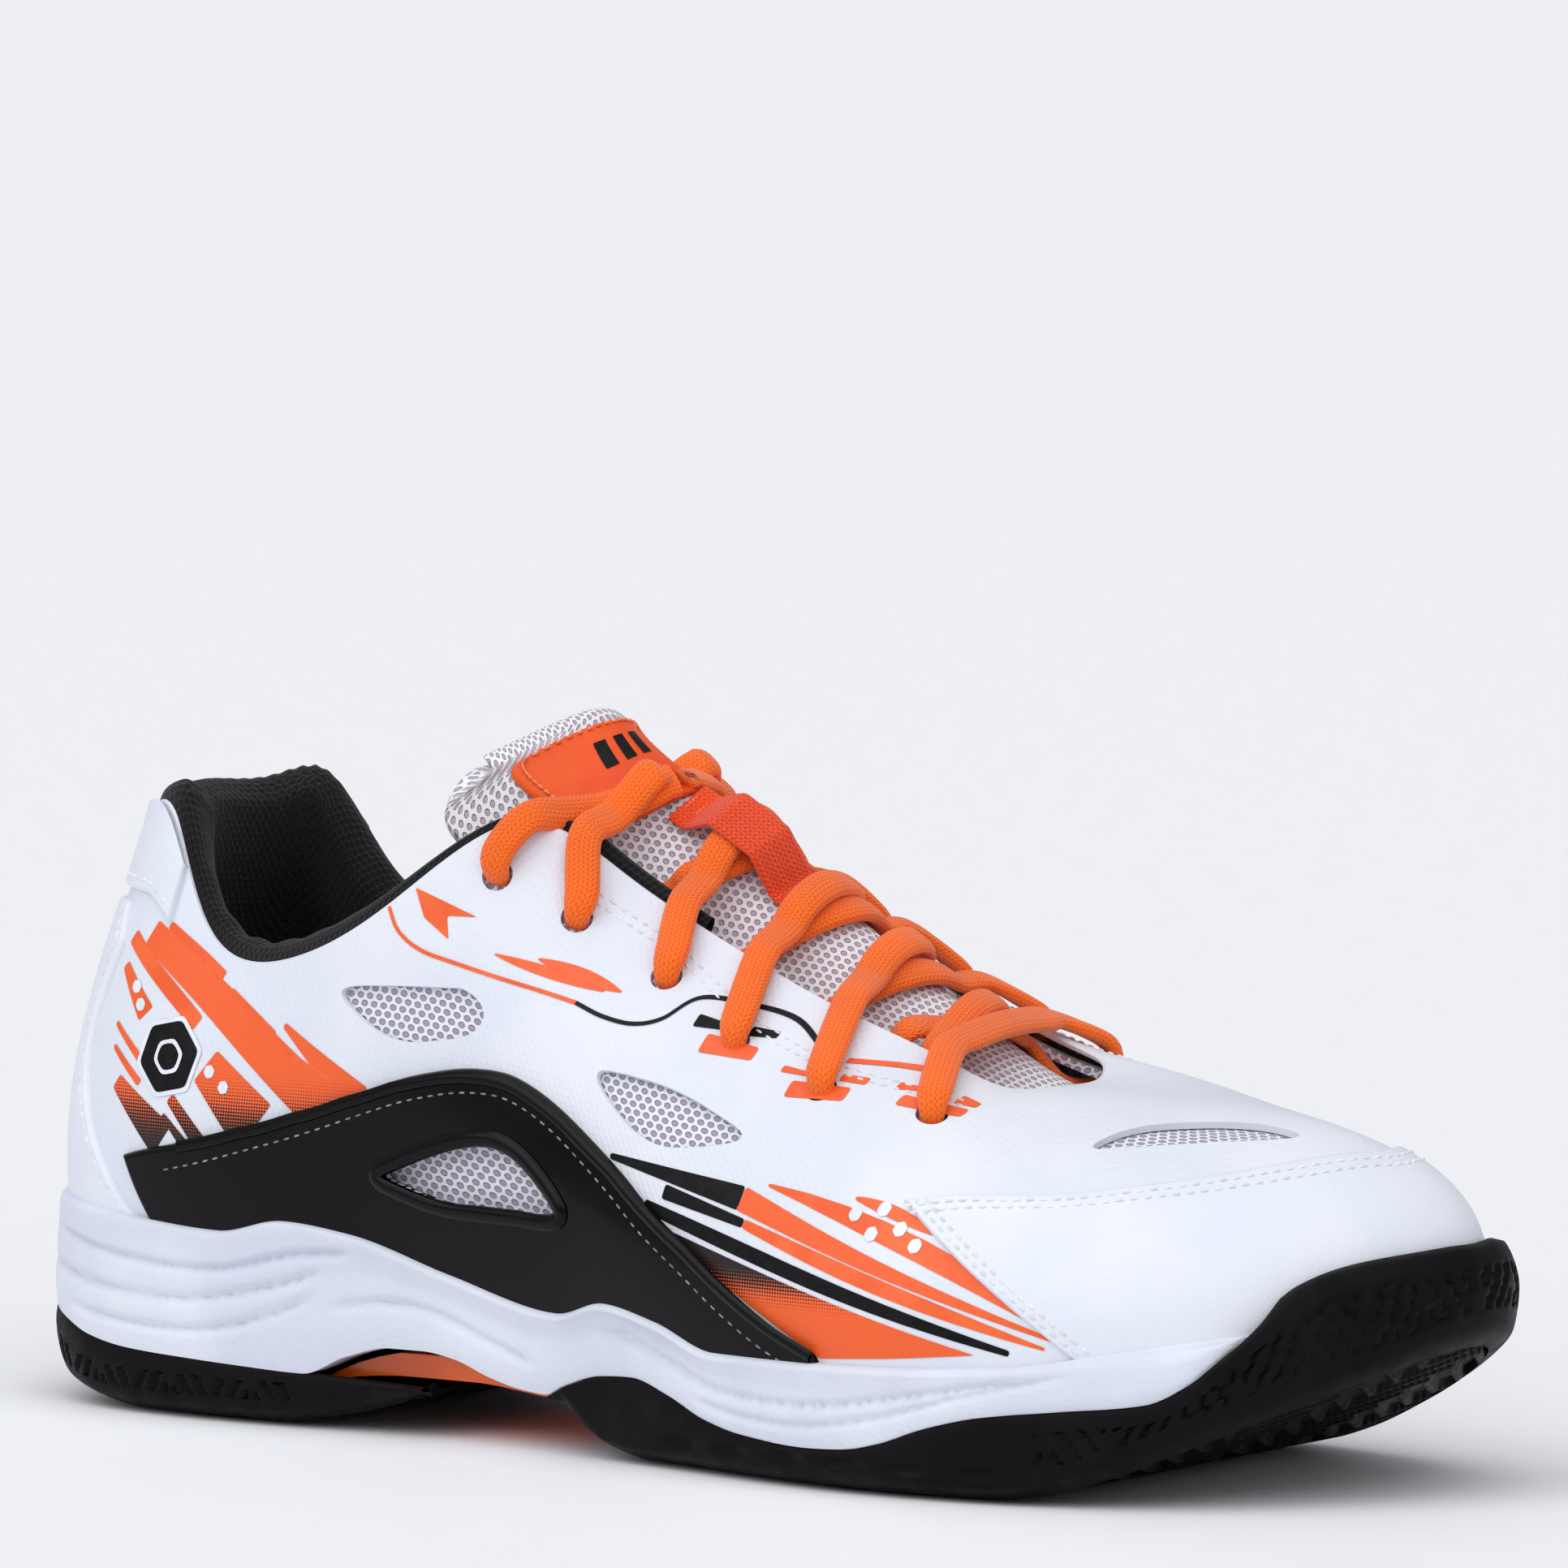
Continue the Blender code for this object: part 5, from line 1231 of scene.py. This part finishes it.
f, g = np.meshgrid(spread(90), spread(60), indexing="ij")
squareness = 0.5 - np.abs(f - 0.5), 0.5 - np.abs(g - 0.5)
corner = np.clip(0.07 - squareness[0], 0, 1) / 0.07, np.clip(0.1 - squareness[1], 0, 1) / 0.1
pull = np.clip(np.hypot(*corner) - 1, 0, 1) * 0.5
f_in = f + np.sign(0.5 - f) * pull * 0.07
g_in = g + np.sign(0.5 - g) * pull * 0.1
v, a = label_place(f_in, g_in)
flat = on_tongue(v, a, 0.5)
far = np.minimum(np.minimum(f, 1 - f) * 34, np.minimum(g, 1 - g) * 24)
ridges = 0.5 * np.exp(-(((g - 0.2 - 0.1 * (2 * f - 1) ** 2) * 24 / 0.5) ** 2)) * ((f > 0.12) & (f < 0.62))
lift = 0.55 + 0.9 * (1 - np.clip(1 - far / 0.9, 0, 1) ** 2.2) ** 0.5 + ridges
label = skin("tongue_label_skin", on_tongue(v, a, lift), film_orange, angle=70)
bars = []
for k, start in enumerate((0.30, 0.42, 0.54)):
    bf, bg = np.meshgrid(np.linspace(start, start + 0.07, 8), np.linspace(0.42, 0.68, 16), indexing="ij")
    bv, ba = label_place(bf + (bg - 0.42) * 0.25, bg)
    bars.append(skin(f"label_bar_{k}", on_tongue(bv, ba, 1.56), ink_black))
label_bars = join("label_bars", bars)
print("tongue and label made")

# %% [markdown]
# The lace is a flat knitted tube about 6 mm wide. It runs straight over the foot of the throat, then
# criss-crosses: up through an eyelet, over the tongue, under the far edge and up the next eyelet. Each
# point of its path carries the way its flat side faces, so it can twist at the eyelets as cloth does.

# %% Lace path


def knot(point, normal, width=6.0, thick=2.6, least=0.0):
    """One point of the path, the way its flat side faces, its section, and its least height."""
    return np.array([*point, *normal, width, thick, least])


def eyelet_place(side, number):
    u, t = (LATERAL_EYELETS if side < 0 else MEDIAL_EYELETS)[number - 1]
    return (u if side < 0 else TURN - u), t


def through_eyelet(side, number):
    """From inside the wall, out of the eyelet, and flat on the wall above it."""
    u, t = eyelet_place(side, number)
    here, normal = upper(u, t), outward(u, t)
    rib = upper(u, t + 0.01) - upper(u, t - 0.01)
    rib = rib / np.linalg.norm(rib)
    return [
        knot(here - normal * 6.6 + rib * 2.6, normal, 5.2, 2.4),
        knot(here - normal * 4.6 + rib * 0.3, normal + rib, 4.4, 2.6),
        knot(here - normal * 1.2 - rib * 0.4, rib, 4.1, 3.0),
        knot(here + normal * 1.3 + rib * 0.6, rib - normal, 4.9, 2.9),
        knot(here + normal * 2.1 + rib * 3.6, normal, 6.0, 2.7),
    ]


def over_edge(side, u, distance=1.9, rise=0.5):
    u = u if side < 0 else TURN - u
    return knot(wall(u, 0.999, distance, rise), outward(u, 0.98))


def under_edge(side, u, distance=-7.0, rise=-1.5):
    u = u if side < 0 else TURN - u
    return knot(wall(u, 0.999, distance, rise), outward(u, 0.98), 5.4, 2.3)


def span(start, end, arch, least):
    """A strand over the tongue; its flat side lies on the tongue, at least so far from it."""
    knots = []
    for f in (0.15, 0.32, 0.5, 0.68, 0.85):
        lift = np.array([0.25, 0, 1.0]) * arch * np.sin(np.pi * f)
        middle = (start[:3] * (1 - f) + end[:3] * f) + lift
        near = ((TONGUE_SAMPLES - middle) ** 2).sum(-1).argmin()
        knots.append(knot(middle, TONGUE_NORMALS[near], 6.4, 2.7, 1.5 + least * np.sin(np.pi * f) ** 0.7))
    return knots


def strand(side, number, arch, least):
    here, above = LATERAL_EYELETS[number - 1][0], LATERAL_EYELETS[number - 2][0]
    dive = above + (0.5 if side > 0 else 0.3) * (here - above)
    start = over_edge(side, here - 0.15)
    end = under_edge(-side, dive, -6.4, 4.2)
    last = under_edge(-side, dive - 0.12)
    return [*through_eyelet(side, number), start, *span(start, end, arch, least), end, last]


def tied_end(side, arch, least):
    start = over_edge(side, LATERAL_EYELETS[1][0] - 0.2)
    end = over_edge(-side, 6.1, 2.4, 0.0)
    tail = []
    for u, t, distance in ((5.86, 0.8, -8.6), (5.8, 0.62, -8.6), (5.8, 0.46, -9.0)):
        u = u if side > 0 else TURN - u
        tail.append(knot(wall(u, t, distance), outward(u, t), 5.4, 2.3))
    down = [*reversed(through_eyelet(-side, 1))][:-1]
    return [*through_eyelet(side, 2), start, *span(start, end, arch, least), end, *down, *tail]


def first_bar():
    start, end = over_edge(-1, 10.2, 2.4, 0.0), over_edge(1, 9.95, 2.4, 0.0)
    return [*through_eyelet(-1, 6), start, *span(start, end, 1.6, 2.6), end, *reversed(through_eyelet(1, 6))]


def first_cross(side, arch, least):
    start, end = under_edge(side, 10.0, -2.5, 4.5), under_edge(-side, 9.65, -1.5, 5.0)
    last = under_edge(-side, 9.5, -7.0, -1.0)
    return [under_edge(side, 10.15, -7.0, -1.0), start, *span(start, end, arch, least), end, last]


sample_v, sample_a = np.meshgrid(np.linspace(0, 8, 121), np.linspace(-1, 1, 61), indexing="ij")
TONGUE_SAMPLES = on_tongue(sample_v, sample_a, 0.4).reshape(-1, 3)
TONGUE_NORMALS = tongue_normal(sample_v, sample_a).reshape(-1, 3)
TONGUE_PLACES = np.stack([sample_v.reshape(-1), sample_a.reshape(-1)], axis=1)
OVER, BELOW = (3.4, 3.0), (1.0, 0.2)
upward = [*first_cross(-1, *OVER), *strand(1, 5, *BELOW), *strand(-1, 4, *OVER), *strand(1, 3, *BELOW)]
upward += tied_end(-1, *OVER)
other = [*first_cross(1, 0.6, 0.0), *strand(-1, 5, *OVER), *strand(1, 4, *BELOW), *strand(-1, 3, *OVER)]
other += tied_end(1, *BELOW)
route = np.array([*reversed(other), *reversed(first_bar()), *upward])
print("lace path", len(route), "points")

# %% [markdown]
# The flat side is carried along the path so that it never flips over at once, then the path is cut
# into even steps and pushed clear of the tongue and its label before the tube is swept.

# %% Lace
LACE_STEP = 1.15
travel = frames_along(route[:, :3])
for k in range(1, len(route)):
    before, after = Vector(travel[k - 1]), Vector(travel[k])
    turned = before.rotation_difference(after) @ Vector(route[k - 1, 3:6])
    if np.dot(turned, route[k, 3:6]) < 0:
        route[k, 3:6] *= -1
    route[k, 3:6] /= np.linalg.norm(route[k, 3:6])
fine = open_curve(route, np.linspace(0, len(route) - 1, 12 * len(route)))
run = lengths(fine[:, None, :3], 0)[:, 0]
steps = np.linspace(0, run[-1], int(run[-1] / LACE_STEP))
line = np.stack([np.interp(steps, run, fine[:, c]) for c in range(9)], axis=1)
for k, point in enumerate(line[:, :3]):
    near = ((TONGUE_SAMPLES - point) ** 2).sum(-1).argmin()
    v_near, a_near = TONGUE_PLACES[near]
    lack = line[k, 8] + (1.4 if v_near > 5.45 and abs(a_near) < 0.66 else 0.0)
    lack -= (point - TONGUE_SAMPLES[near]) @ TONGUE_NORMALS[near]
    if line[k, 8] > 1.3 and 0 < lack < 9 and abs(a_near) < 0.9:
        line[k, :3] += TONGUE_NORMALS[near] * lack
kernel = np.array([1, 3, 4, 3, 1]) / 12
for c in range(3):
    line[2:-2, c] = np.convolve(line[:, c], kernel, "valid")
unit = lace_profile(1.0, 1.0, 18, 0.8)
rings = unit[None] * line[:, None, 6:8]
lace = sweep("lace_skin", line[:, :3], line[:, 3:6], rings, lace_orange)
print("lace", round(run[-1]), "mm,", len(lace.data.polygons), "faces")

# %% [markdown]
# A short strap of webbing is sewn on the tongue. The crossing strands pass under it, so that the tongue
# can't slide down. It is a flat band that rises over the laces and is stitched down at both ends.

# %% Lace keeper
v = np.linspace(4.1, 5.5, 48)
f = np.clip((v - 4.25) / 1.05, 0, 1)
rise = 0.8 + 5.6 * np.clip(np.sin(np.pi * f) * 1.3, 0, 1) ** 1.3
path = on_tongue(v, -0.16 + 0 * v, rise)
keeper_profile = lace_profile(10.0, 1.3, 24, 0.25)
keeper = sweep("lace_keeper_webbing", path, tongue_normal(v, -0.16 + 0 * v), keeper_profile, tape_orange)
print("keeper", np.round(path[24]))

# %% [markdown]
# Inside, a thin lining covers the forefoot, and the sockliner is a moulded insole whose edge turns up
# a little at the sides. Both show only from above, through the opening.

# %% Lining and sockliner
u = np.linspace(7.1, TURN - 7.1, 170)
t = np.linspace(0.02, 0.985, 40)
LINING_FACE, LINING_BACK = -4.4, -2.9
back = shell_grid(u, t, LINING_BACK)
section = np.concatenate([back, shell_grid(u, t[::-1], LINING_FACE), back[:, :1]], axis=1)
lining = skin("forefoot_lining", section, window_mesh, angle=60)
u = np.linspace(0, TURN, 160, endpoint=False)
z = upper(u, 0 * u)[:, 2]
lip = wall(u, 0.1 + 0 * u, -6.6)
floor_edge = wall(u, 0 * u, -6.4)[:, :2]
keys = [
    at_height(floor_edge, z + 1.6),
    lip,
    at_height(lip[:, :2] * 0.96 + floor_edge.mean(0) * 0.04, lip[:, 2] + 0.3),
    at_height(floor_edge * (0.97, 0.8) + (4.2, 0), z + 5.0),
    at_height(floor_edge * (0.95, 0.4) + (6.0, 0), z + 4.8),
    at_height(floor_edge * (0.93, 0.02) + (8.0, 0), z + 4.8),
]
grid = np.stack([open_curve(np.array(keys)[:, k], np.linspace(0, 5, 26)) for k in range(len(u))])
sock = skin("sockliner_pad", grid, sock_grey, closed=True, angle=60)
print("inside pieces made")

# %% [markdown]
# Every seam is a row of small thread stitches. One stitch is a short bead of 26 faces that bulges in the
# middle and sinks at both ends; a seam is many of them in one mesh.

# %% Stitches


def stitches(name, path, normals, length, thick, material):
    sink = 0.1
    tangent = frames_along(path)
    side = np.cross(tangent, normals)
    turn = np.linspace(0, 2 * np.pi, 6, endpoint=False)
    shares = (-0.5, 0.3, -0.5), (-0.36, 0.85, -0.1), (0, 1, 0.1), (0.36, 0.85, -0.1), (0.5, 0.3, -0.5)
    points, faces = [], []
    for centre, ahead, left, out in zip(path, tangent, side, normals):
        first = len(points)
        for along, girth, drop in shares:
            middle = centre + ahead * along * length + out * (drop * thick * 0.6 - sink)
            for a in turn:
                points.append(middle + (left * np.cos(a) + out * np.sin(a) * 0.8) * girth * thick / 2)
        for ring in range(4):
            for k in range(6):
                a, b = first + ring * 6 + k, first + ring * 6 + (k + 1) % 6
                faces.append((a, b, b + 6, a + 6))
        faces.append(tuple(first + k for k in reversed(range(6))))
        faces.append(tuple(first + 24 + k for k in range(6)))
    made = finish_mesh(name, np.array(points), faces, material)
    weld(made)
    return made


def seam(name, u, t, pitch, lift, length=1.5, thick=0.55, material=None):
    u_line, t_line = along_surface(np.asarray(u, float), np.asarray(t, float), pitch)
    path, normals = wall(u_line, t_line, lift), outward(u_line, t_line)
    return stitches(name, path, normals, length, thick, material or thread_white)


def shifted(places, toward, distance):
    """The line of places moved so many mm over the surface towards another line."""
    a, b = np.asarray(places, float), np.asarray(toward, float)
    gap = np.linalg.norm(wall(a[:, 0], a[:, 1]) - wall(b[:, 0], b[:, 1]), axis=1)
    share = (distance / np.maximum(gap, 1e-6))[:, None]
    line = a * (1 - share) + b * share
    return line[:, 0], line[:, 1]


def fine_line(places, count=80):
    places = np.asarray(places, float)
    return open_curve(places, np.linspace(0, len(places) - 1, count))


SEAM_PITCH, ROWS = 2.3, (1.9, 3.6)
seams_front, seams_back = [], []
cap_edge, cap_foot = fine_line(cap_high, 160), fine_line(cap_low, 160)
for inset in ROWS:
    seams_front.append(seam("seam", *shifted(cap_edge, cap_foot, inset), SEAM_PITCH, 1.22))
for rear in (0, -1):
    for inset, further in zip(ROWS, (2, 4)):
        inner = further if rear == 0 else -1 - further
        line, inside = (fine_line(np.array([cap_edge[k], cap_foot[k]]), 30)[1:-1] for k in (rear, inner))
        seams_front.append(seam("seam", *shifted(line, inside, inset), SEAM_PITCH, 1.22))
toe_seams = join("toe_cap_stitches", seams_front)
for side in ("lateral", "medial"):
    low, high = (fine_line(places, 120) for places in saddle_places[side])
    inset = shifted(high[6:-6], low[6:-6], 4.2)
    seams_back.append(seam("seam", *inset, SEAM_PITCH, 1.6, 1.3, 0.34, thread_grey))
tab_under, tab_upper = fine_line(tab_low, 90), fine_line(tab_high, 90)
seams_back.append(seam("seam", *shifted(tab_under[4:-4], tab_upper[4:-4], 2.2), SEAM_PITCH, 1.36))
counter_rows = np.array([fine_line(counter_low, 61), fine_line(counter_high, 61)])
for end in (0, -1):
    g = np.linspace(0.02, 0.97, 40)[:, None]
    edge = counter_rows[0][end] * (1 - g) + counter_rows[1][end] * g
    edge[:, 0] = counter_waist(edge[:, 0], g[:, 0], np.full(40, counter_low[end, 0]))
    inward = edge * np.array([0.85, 1.0])
    seams_back.append(seam("seam", *shifted(edge, inward, 2.2), SEAM_PITCH, 1.26))
for mirror in (False, True):
    eyes = np.array(MEDIAL_EYELETS if mirror else LATERAL_EYELETS)
    throat_u = np.linspace(6.6, 10.5, 60)
    throat_t = np.interp(throat_u, eyes[:, 0], eyes[:, 1] + 0.075)
    if mirror:
        throat_u = TURN - throat_u
    for drop in (0.0, 0.022):
        seams_back.append(seam("seam", throat_u, throat_t - drop, SEAM_PITCH, 0.2, 1.4, 0.45))
back_seams = join("upper_stitches", seams_back)
border = np.array([(0.05, 0.09), (0.05, 0.91), (0.95, 0.91), (0.95, 0.09), (0.05, 0.09)])
f, g = (np.interp(np.linspace(0, 4, 61), np.arange(5), border[:, k]) for k in (0, 1))
v, a = label_place(f, g)
label_seam = stitches("label_stitches", on_tongue(v, a, 1.85), tongue_normal(v, a), 1.3, 0.55, thread_orange)
foot, head, rear, front = 5.32, 5.46, -0.3, -0.03
v = np.linspace(foot, head, 5), np.full(9, head), np.linspace(head, foot, 5), np.full(9, foot)
a = np.full(5, rear), np.linspace(rear, front, 9), np.full(5, front), np.linspace(front, rear, 9)
v, a = np.concatenate(v), np.concatenate(a)
box_seam = stitches("keeper_stitches", on_tongue(v, a, 1.5), tongue_normal(v, a), 0.8, 0.4, thread_orange)
print("stitches", sum(len(o.data.polygons) for o in (toe_seams, back_seams, label_seam, box_seam)) // 26)

# %% [markdown]
# The coloured stripes are ink films transferred onto the shell. Each is a thin patch cut to an outline
# in side view and laid a tenth of a millimetre above the skin. Nearly all are bands, given by two ends
# and two widths; a few have a belly or a bow. A plain hexagon and some dots lie on top of them.

# %% Prints


def patch(name, outline, side, lift, material, step=2.6, round_by=0.5):
    outline = rounded(outline, round_by, 3)
    edge = []
    for start, end in zip(outline, np.roll(outline, -1, 0)):
        count = max(int(np.linalg.norm(end - start) / step), 1)
        edge += [start * (1 - k / count) + end * k / count for k in range(count)]
    low, high = outline.min(0), outline.max(0)
    inner = (np.arange(a, b, step) for a, b in zip(low, high))
    gx, gz = np.meshgrid(*inner, indexing="ij")
    inside = [Vector(p) for p in zip(gx.ravel() + 0.11, gz.ravel() + 0.07)]
    points = [Vector(p) for p in edge] + inside
    loop = [(k, (k + 1) % len(edge)) for k in range(len(edge))]
    found, _, faces, _, _, _ = delaunay_2d_cdt(points, loop, [], 1, 1e-4)
    flat = np.array([tuple(p) for p in found])
    u, t = on_side(flat, side)
    if side == "medial":
        faces = [tuple(reversed(face)) for face in faces]
    made = finish_mesh(name, wall(u, t, lift), [tuple(reversed(face)) for face in faces], material)
    made.data.flip_normals()
    return made


def dot(x, z, radius):
    turn = np.arange(6) * np.pi / 3 + 0.2
    return [(x + radius * np.cos(a), z + radius * np.sin(a)) for a in turn]


def band(start, end, wide_start, wide_end, belly=0.0, bow=0.0):
    """The outline of one stripe: straight or bowed, and tapered, or leaf-shaped where it has a belly."""
    start, end = np.array(start, float), np.array(end, float)
    along, step = end - start, np.linspace(0, 1, 9)[:, None]
    across = np.array([-along[1], along[0]]) / np.hypot(*along)
    swell = 4 * step * (1 - step)
    middle = start + along * step + across * bow * swell
    half = (wide_start + (wide_end - wide_start) * step + belly * swell) / 2
    return np.concatenate([middle + across * half, (middle - across * half)[::-1]])


HEEL_BANDS = (
    ("heel", (33, 83), (77, 54.5), 5, 9),
    ("orange", (37, 84.5), (50, 76), 1.5, 2.5),
    ("orange", (52, 73.5), (64, 67), 2.5, 1.5),
    ("heel", (66, 69), (84, 57), 1, 6),
    ("orange", (66, 65), (78, 60), 1, 0.5),
    ("orange", (28, 82), (46, 68), 3, 3),
    ("orange", (27, 77), (34, 69), 2, 4),
    ("orange", (26.5, 67), (34, 61), 1, 1.5),
    ("orange", (26.5, 63), (34, 57), 1, 1.5),
    ("heel", (28, 57), (40, 47.5), 3, 7),
    ("heel", (41.5, 55), (49, 47.5), 2, 3),
    ("heel", (40, 52), (46, 46.5), 1, 2),
    ("heel", (49, 61), (61, 51), 7, 11),
)
MIDDLE_BANDS = (
    ("orange", (110, 83.5), (131, 78), 0.3, 0.3, 1.5),
    ("front", (118, 83), (134, 78), 0.3, 0.3, 2),
    ("black", (149, 74), (155, 73), 2, 1),
    ("black", (159, 72.5), (164, 72), 1.5, 1),
    ("front", (152, 70.5), (162, 69), 3, 2),
    ("orange", (168, 67), (175, 66), 1, 0.5),
    ("orange", (179, 66), (184, 65.5), 1, 1),
    ("orange", (171, 64), (182, 63.5), 2.5, 2),
    ("orange", (189, 65), (193, 64.5), 1, 0.5),
    ("orange", (199, 63), (202.5, 62), 1, 0.5),
    ("orange", (191, 63), (202, 61), 1.5, 1),
)
FRONT_BANDS = (
    ("black", (140, 51.5), (170, 46.5), 1, 4),
    ("front", (170, 46.5), (235, 26.5), 4, 0.5),
    ("black", (153, 46.5), (171.5, 42.5), 2.5, 1.5),
    ("orange", (171.5, 42.5), (232, 25.5), 1.5, 0.5, 1.5),
    ("black", (149, 44), (226, 24.5), 2, 1, 1),
    ("orange", (175, 49), (238, 26), 0.5, 0.5, 3, 3),
    ("orange", (193, 48), (209, 43), 0.5, 0.5, 1.5, 0.5),
)
ARROW = (92.5, 94), (105.5, 89.5), (99.5, 89.5), (100.5, 85.5), (95, 89)
WEDGE = (152, 41), (220, 24), (204, 22.5), (190, 21.5), (170, 31.5)
LINES = (
    (((87.5, 90.5), (90, 86.5), (95, 83.5), (103, 81.5), (118.5, 78), (126.5, 76)), "orange"),
    (
        ((126.5, 76), (132, 74), (138, 73), (143, 74), (148, 77.5), (157, 76.5), (165, 74.5), (172, 70.5)),
        "black",
    ),
    (((178, 68.5), (186, 68), (193, 67)), "orange"),
)
INKS = {"orange": ink_orange, "black": ink_black, "heel": ink_heel, "front": ink_front}
WHITE_DOTS = (50, 60), (53.5, 57.5), (31, 73.5), (32.5, 70.5)
FRONT_DOTS = (194, 45.5), (199, 46.5), (198, 42.5), (203, 43.5), (206.5, 41)
HEXAGON = ((7.6, ink_white, 0.2), (6.7, ink_black, 0.26), (3.4, ink_white, 0.32), (2.6, ink_black, 0.38))
HEXAGON_AT = 40.5, 62
INK_LIFT, LINE_LIFT, DOT_LIFT, LINE_HALF = 0.1, 0.13, 0.17, 0.34
heel_prints, front_prints = [], []
for side in ("lateral", "medial"):
    for prints, bands in ((heel_prints, HEEL_BANDS + MIDDLE_BANDS), (front_prints, FRONT_BANDS)):
        for ink, *shape in bands:
            prints.append(patch("print", band(*shape), side, INK_LIFT, INKS[ink]))
    heel_prints.append(patch("print", ARROW, side, INK_LIFT, ink_orange))
    front_prints.append(patch("print", WEDGE, side, INK_LIFT, ink_wedge))
    for prints, places, radius in ((heel_prints, WHITE_DOTS, 1.25), (front_prints, FRONT_DOTS, 1.3)):
        for x, z in places:
            prints.append(patch("print", dot(x, z, radius), side, DOT_LIFT, ink_white, 1.5, 0.3))
    for radius, ink, lift in HEXAGON:
        heel_prints.append(patch("print", dot(*HEXAGON_AT, radius), side, lift, ink, 2.0, 0.8))
    for points, ink in LINES:
        middle = fine_line(points, 60)
        across = frames_along(middle)[:, ::-1] * (LINE_HALF, -LINE_HALF)
        outline = np.concatenate([middle + across, (middle - across)[::-1]])
        heel_prints.append(patch("print", outline, side, LINE_LIFT, INKS[ink], 2.0, 0.1))
print_count = len(heel_prints) + len(front_prints)
heel_prints = join("prints_rear", heel_prints)
front_prints = join("prints_front", front_prints)
print("prints", print_count)

# %% [markdown]
# Each new piece is listed in a group by how it is placed, and with the CAD pieces that it stands for.

# %% Lists of pieces
flexing = [shell, under, lining, sock, toe_cap, midsole, fore_skin, fore_tread, toe_seams, front_prints]
folding = [tongue, label, label_bars, label_seam]
steady = [*saddles.values(), counter, tab, collar, heel_skin, heel_tread, *beads]
steady += [keeper, box_seam, back_seams, heel_prints]
REPLACED = [
    (shell, ["upper_shell"], "embossed_synthetic"),
    (under, ["mesh_layer"], "white_mesh"),
    (lining, ["vamp_lining", "toe_puff"], "lining_textile"),
    (sock, ["sockliner", "strobel_board"], "sock_textile"),
    (toe_cap, ["toe_cap"], "white_leather"),
    (counter, ["heel_counter"], "white_leather"),
    (tab, ["heel_tab"], "white_leather"),
    (saddles["lateral"], ["saddle_lateral"], "black_film"),
    (saddles["medial"], ["saddle_medial"], "black_film"),
    (midsole, ["midsole"], "midsole_foam"),
    (heel_skin, ["outsole_heel"], "outsole_rubber"),
    (fore_skin, ["outsole_forefoot"], "outsole_rubber"),
    (collar, ["collar_lining", "collar_foam", "collar_tail_lateral", "collar_tail_medial"], "black_mesh"),
    (tongue, ["tongue"], "tongue_mesh"),
    (label, ["tongue_label"], "orange_film"),
    (keeper, ["lace_keeper"], "orange_webbing"),
    (lace, ["lace"], "orange_lace"),
]
REPLACED += [(piece, [], "black_film") for piece in beads]
REPLACED += [(heel_tread, [], "outsole_rubber"), (fore_tread, [], "outsole_rubber")]
print(len(REPLACED), "pieces take a finish slot")

# %% [markdown]
# The shank plate shows only through the gap under the arch, and the heel stiffener and the backings of
# the eyelets are hidden, so they keep their CAD shape and get their real finish. The pieces across the
# ball of the foot, the tongue pieces and the lace have their placing baked into their meshes, the other
# new pieces ride on the shoe's body, and the CAD pieces that they stand for are hidden.

# %% Bodies, replaced nodes and finishes
for name, made in (
    ("shank_plate", plate_orange), ("heel_stiffener", board_buff),
    ("eyestay_backing_lateral", board_buff), ("eyestay_backing_medial", board_buff),
):
    frame["nodes"][name].data.materials.clear()
    frame["nodes"][name].data.materials.append(made)


for piece in flexing:
    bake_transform(piece)
for piece in folding:
    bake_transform(piece)
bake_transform(lace)
for piece in steady:
    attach(piece, "shoe")
for piece, nodes, slot in REPLACED:
    if nodes:
        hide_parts(*nodes)
print(len(flexing), "bend at the toes,", len(folding), "at the tongue,", len(steady), "ride on the shoe")

# %% [markdown]
# A pale floor and three soft lights, as on a product table: a wide one overhead for the even white, one
# from the front left that draws the edges, and a weaker one from the front right for the shadows.

# %% Floor and light


def soft_sun(name, place, strength, spread):
    light = bpy.data.lights.new(name, "SUN")
    light.energy = strength
    light.angle = np.radians(spread)
    made = bpy.data.objects.new(name, light)
    made.rotation_mode = "QUATERNION"
    made.rotation_quaternion = (-Vector(place)).to_track_quat("-Z", "Y")
    bpy.context.scene.collection.objects.link(made)


bpy.ops.mesh.primitive_plane_add(size=120.0, location=(0, 0, -0.0006))
floor = bpy.context.object
floor.name = "floor"
floor_finish, tree, shader = finish("floor_card", "#F6F7FA", 0.6, Specular_IOR_Level=0.2)
grey = ramp(tree, noise(tree, object_place(tree), 90.0, 3.0), 0.3, 0.7, 0.58, 0.64)
tree.links.new(grey, shader.inputs["Roughness"])
floor.data.materials.append(floor_finish)
soft_sun("overhead", (0.1, -0.5, 1.2), 1.45, 80)
soft_sun("front_left", (-0.7, -1.2, 0.9), 0.5, 45)
soft_sun("front_right", (1.2, -0.6, 0.7), 0.32, 45)
world = bpy.data.worlds.new("studio")
world.use_nodes = True
sky = world.node_tree.nodes["Background"]
sky.inputs["Color"].default_value = srgb("#F6F7FB")
sky.inputs["Strength"].default_value = 0.46
bpy.context.scene.world = world
bpy.context.scene.view_settings.view_transform = "Standard"
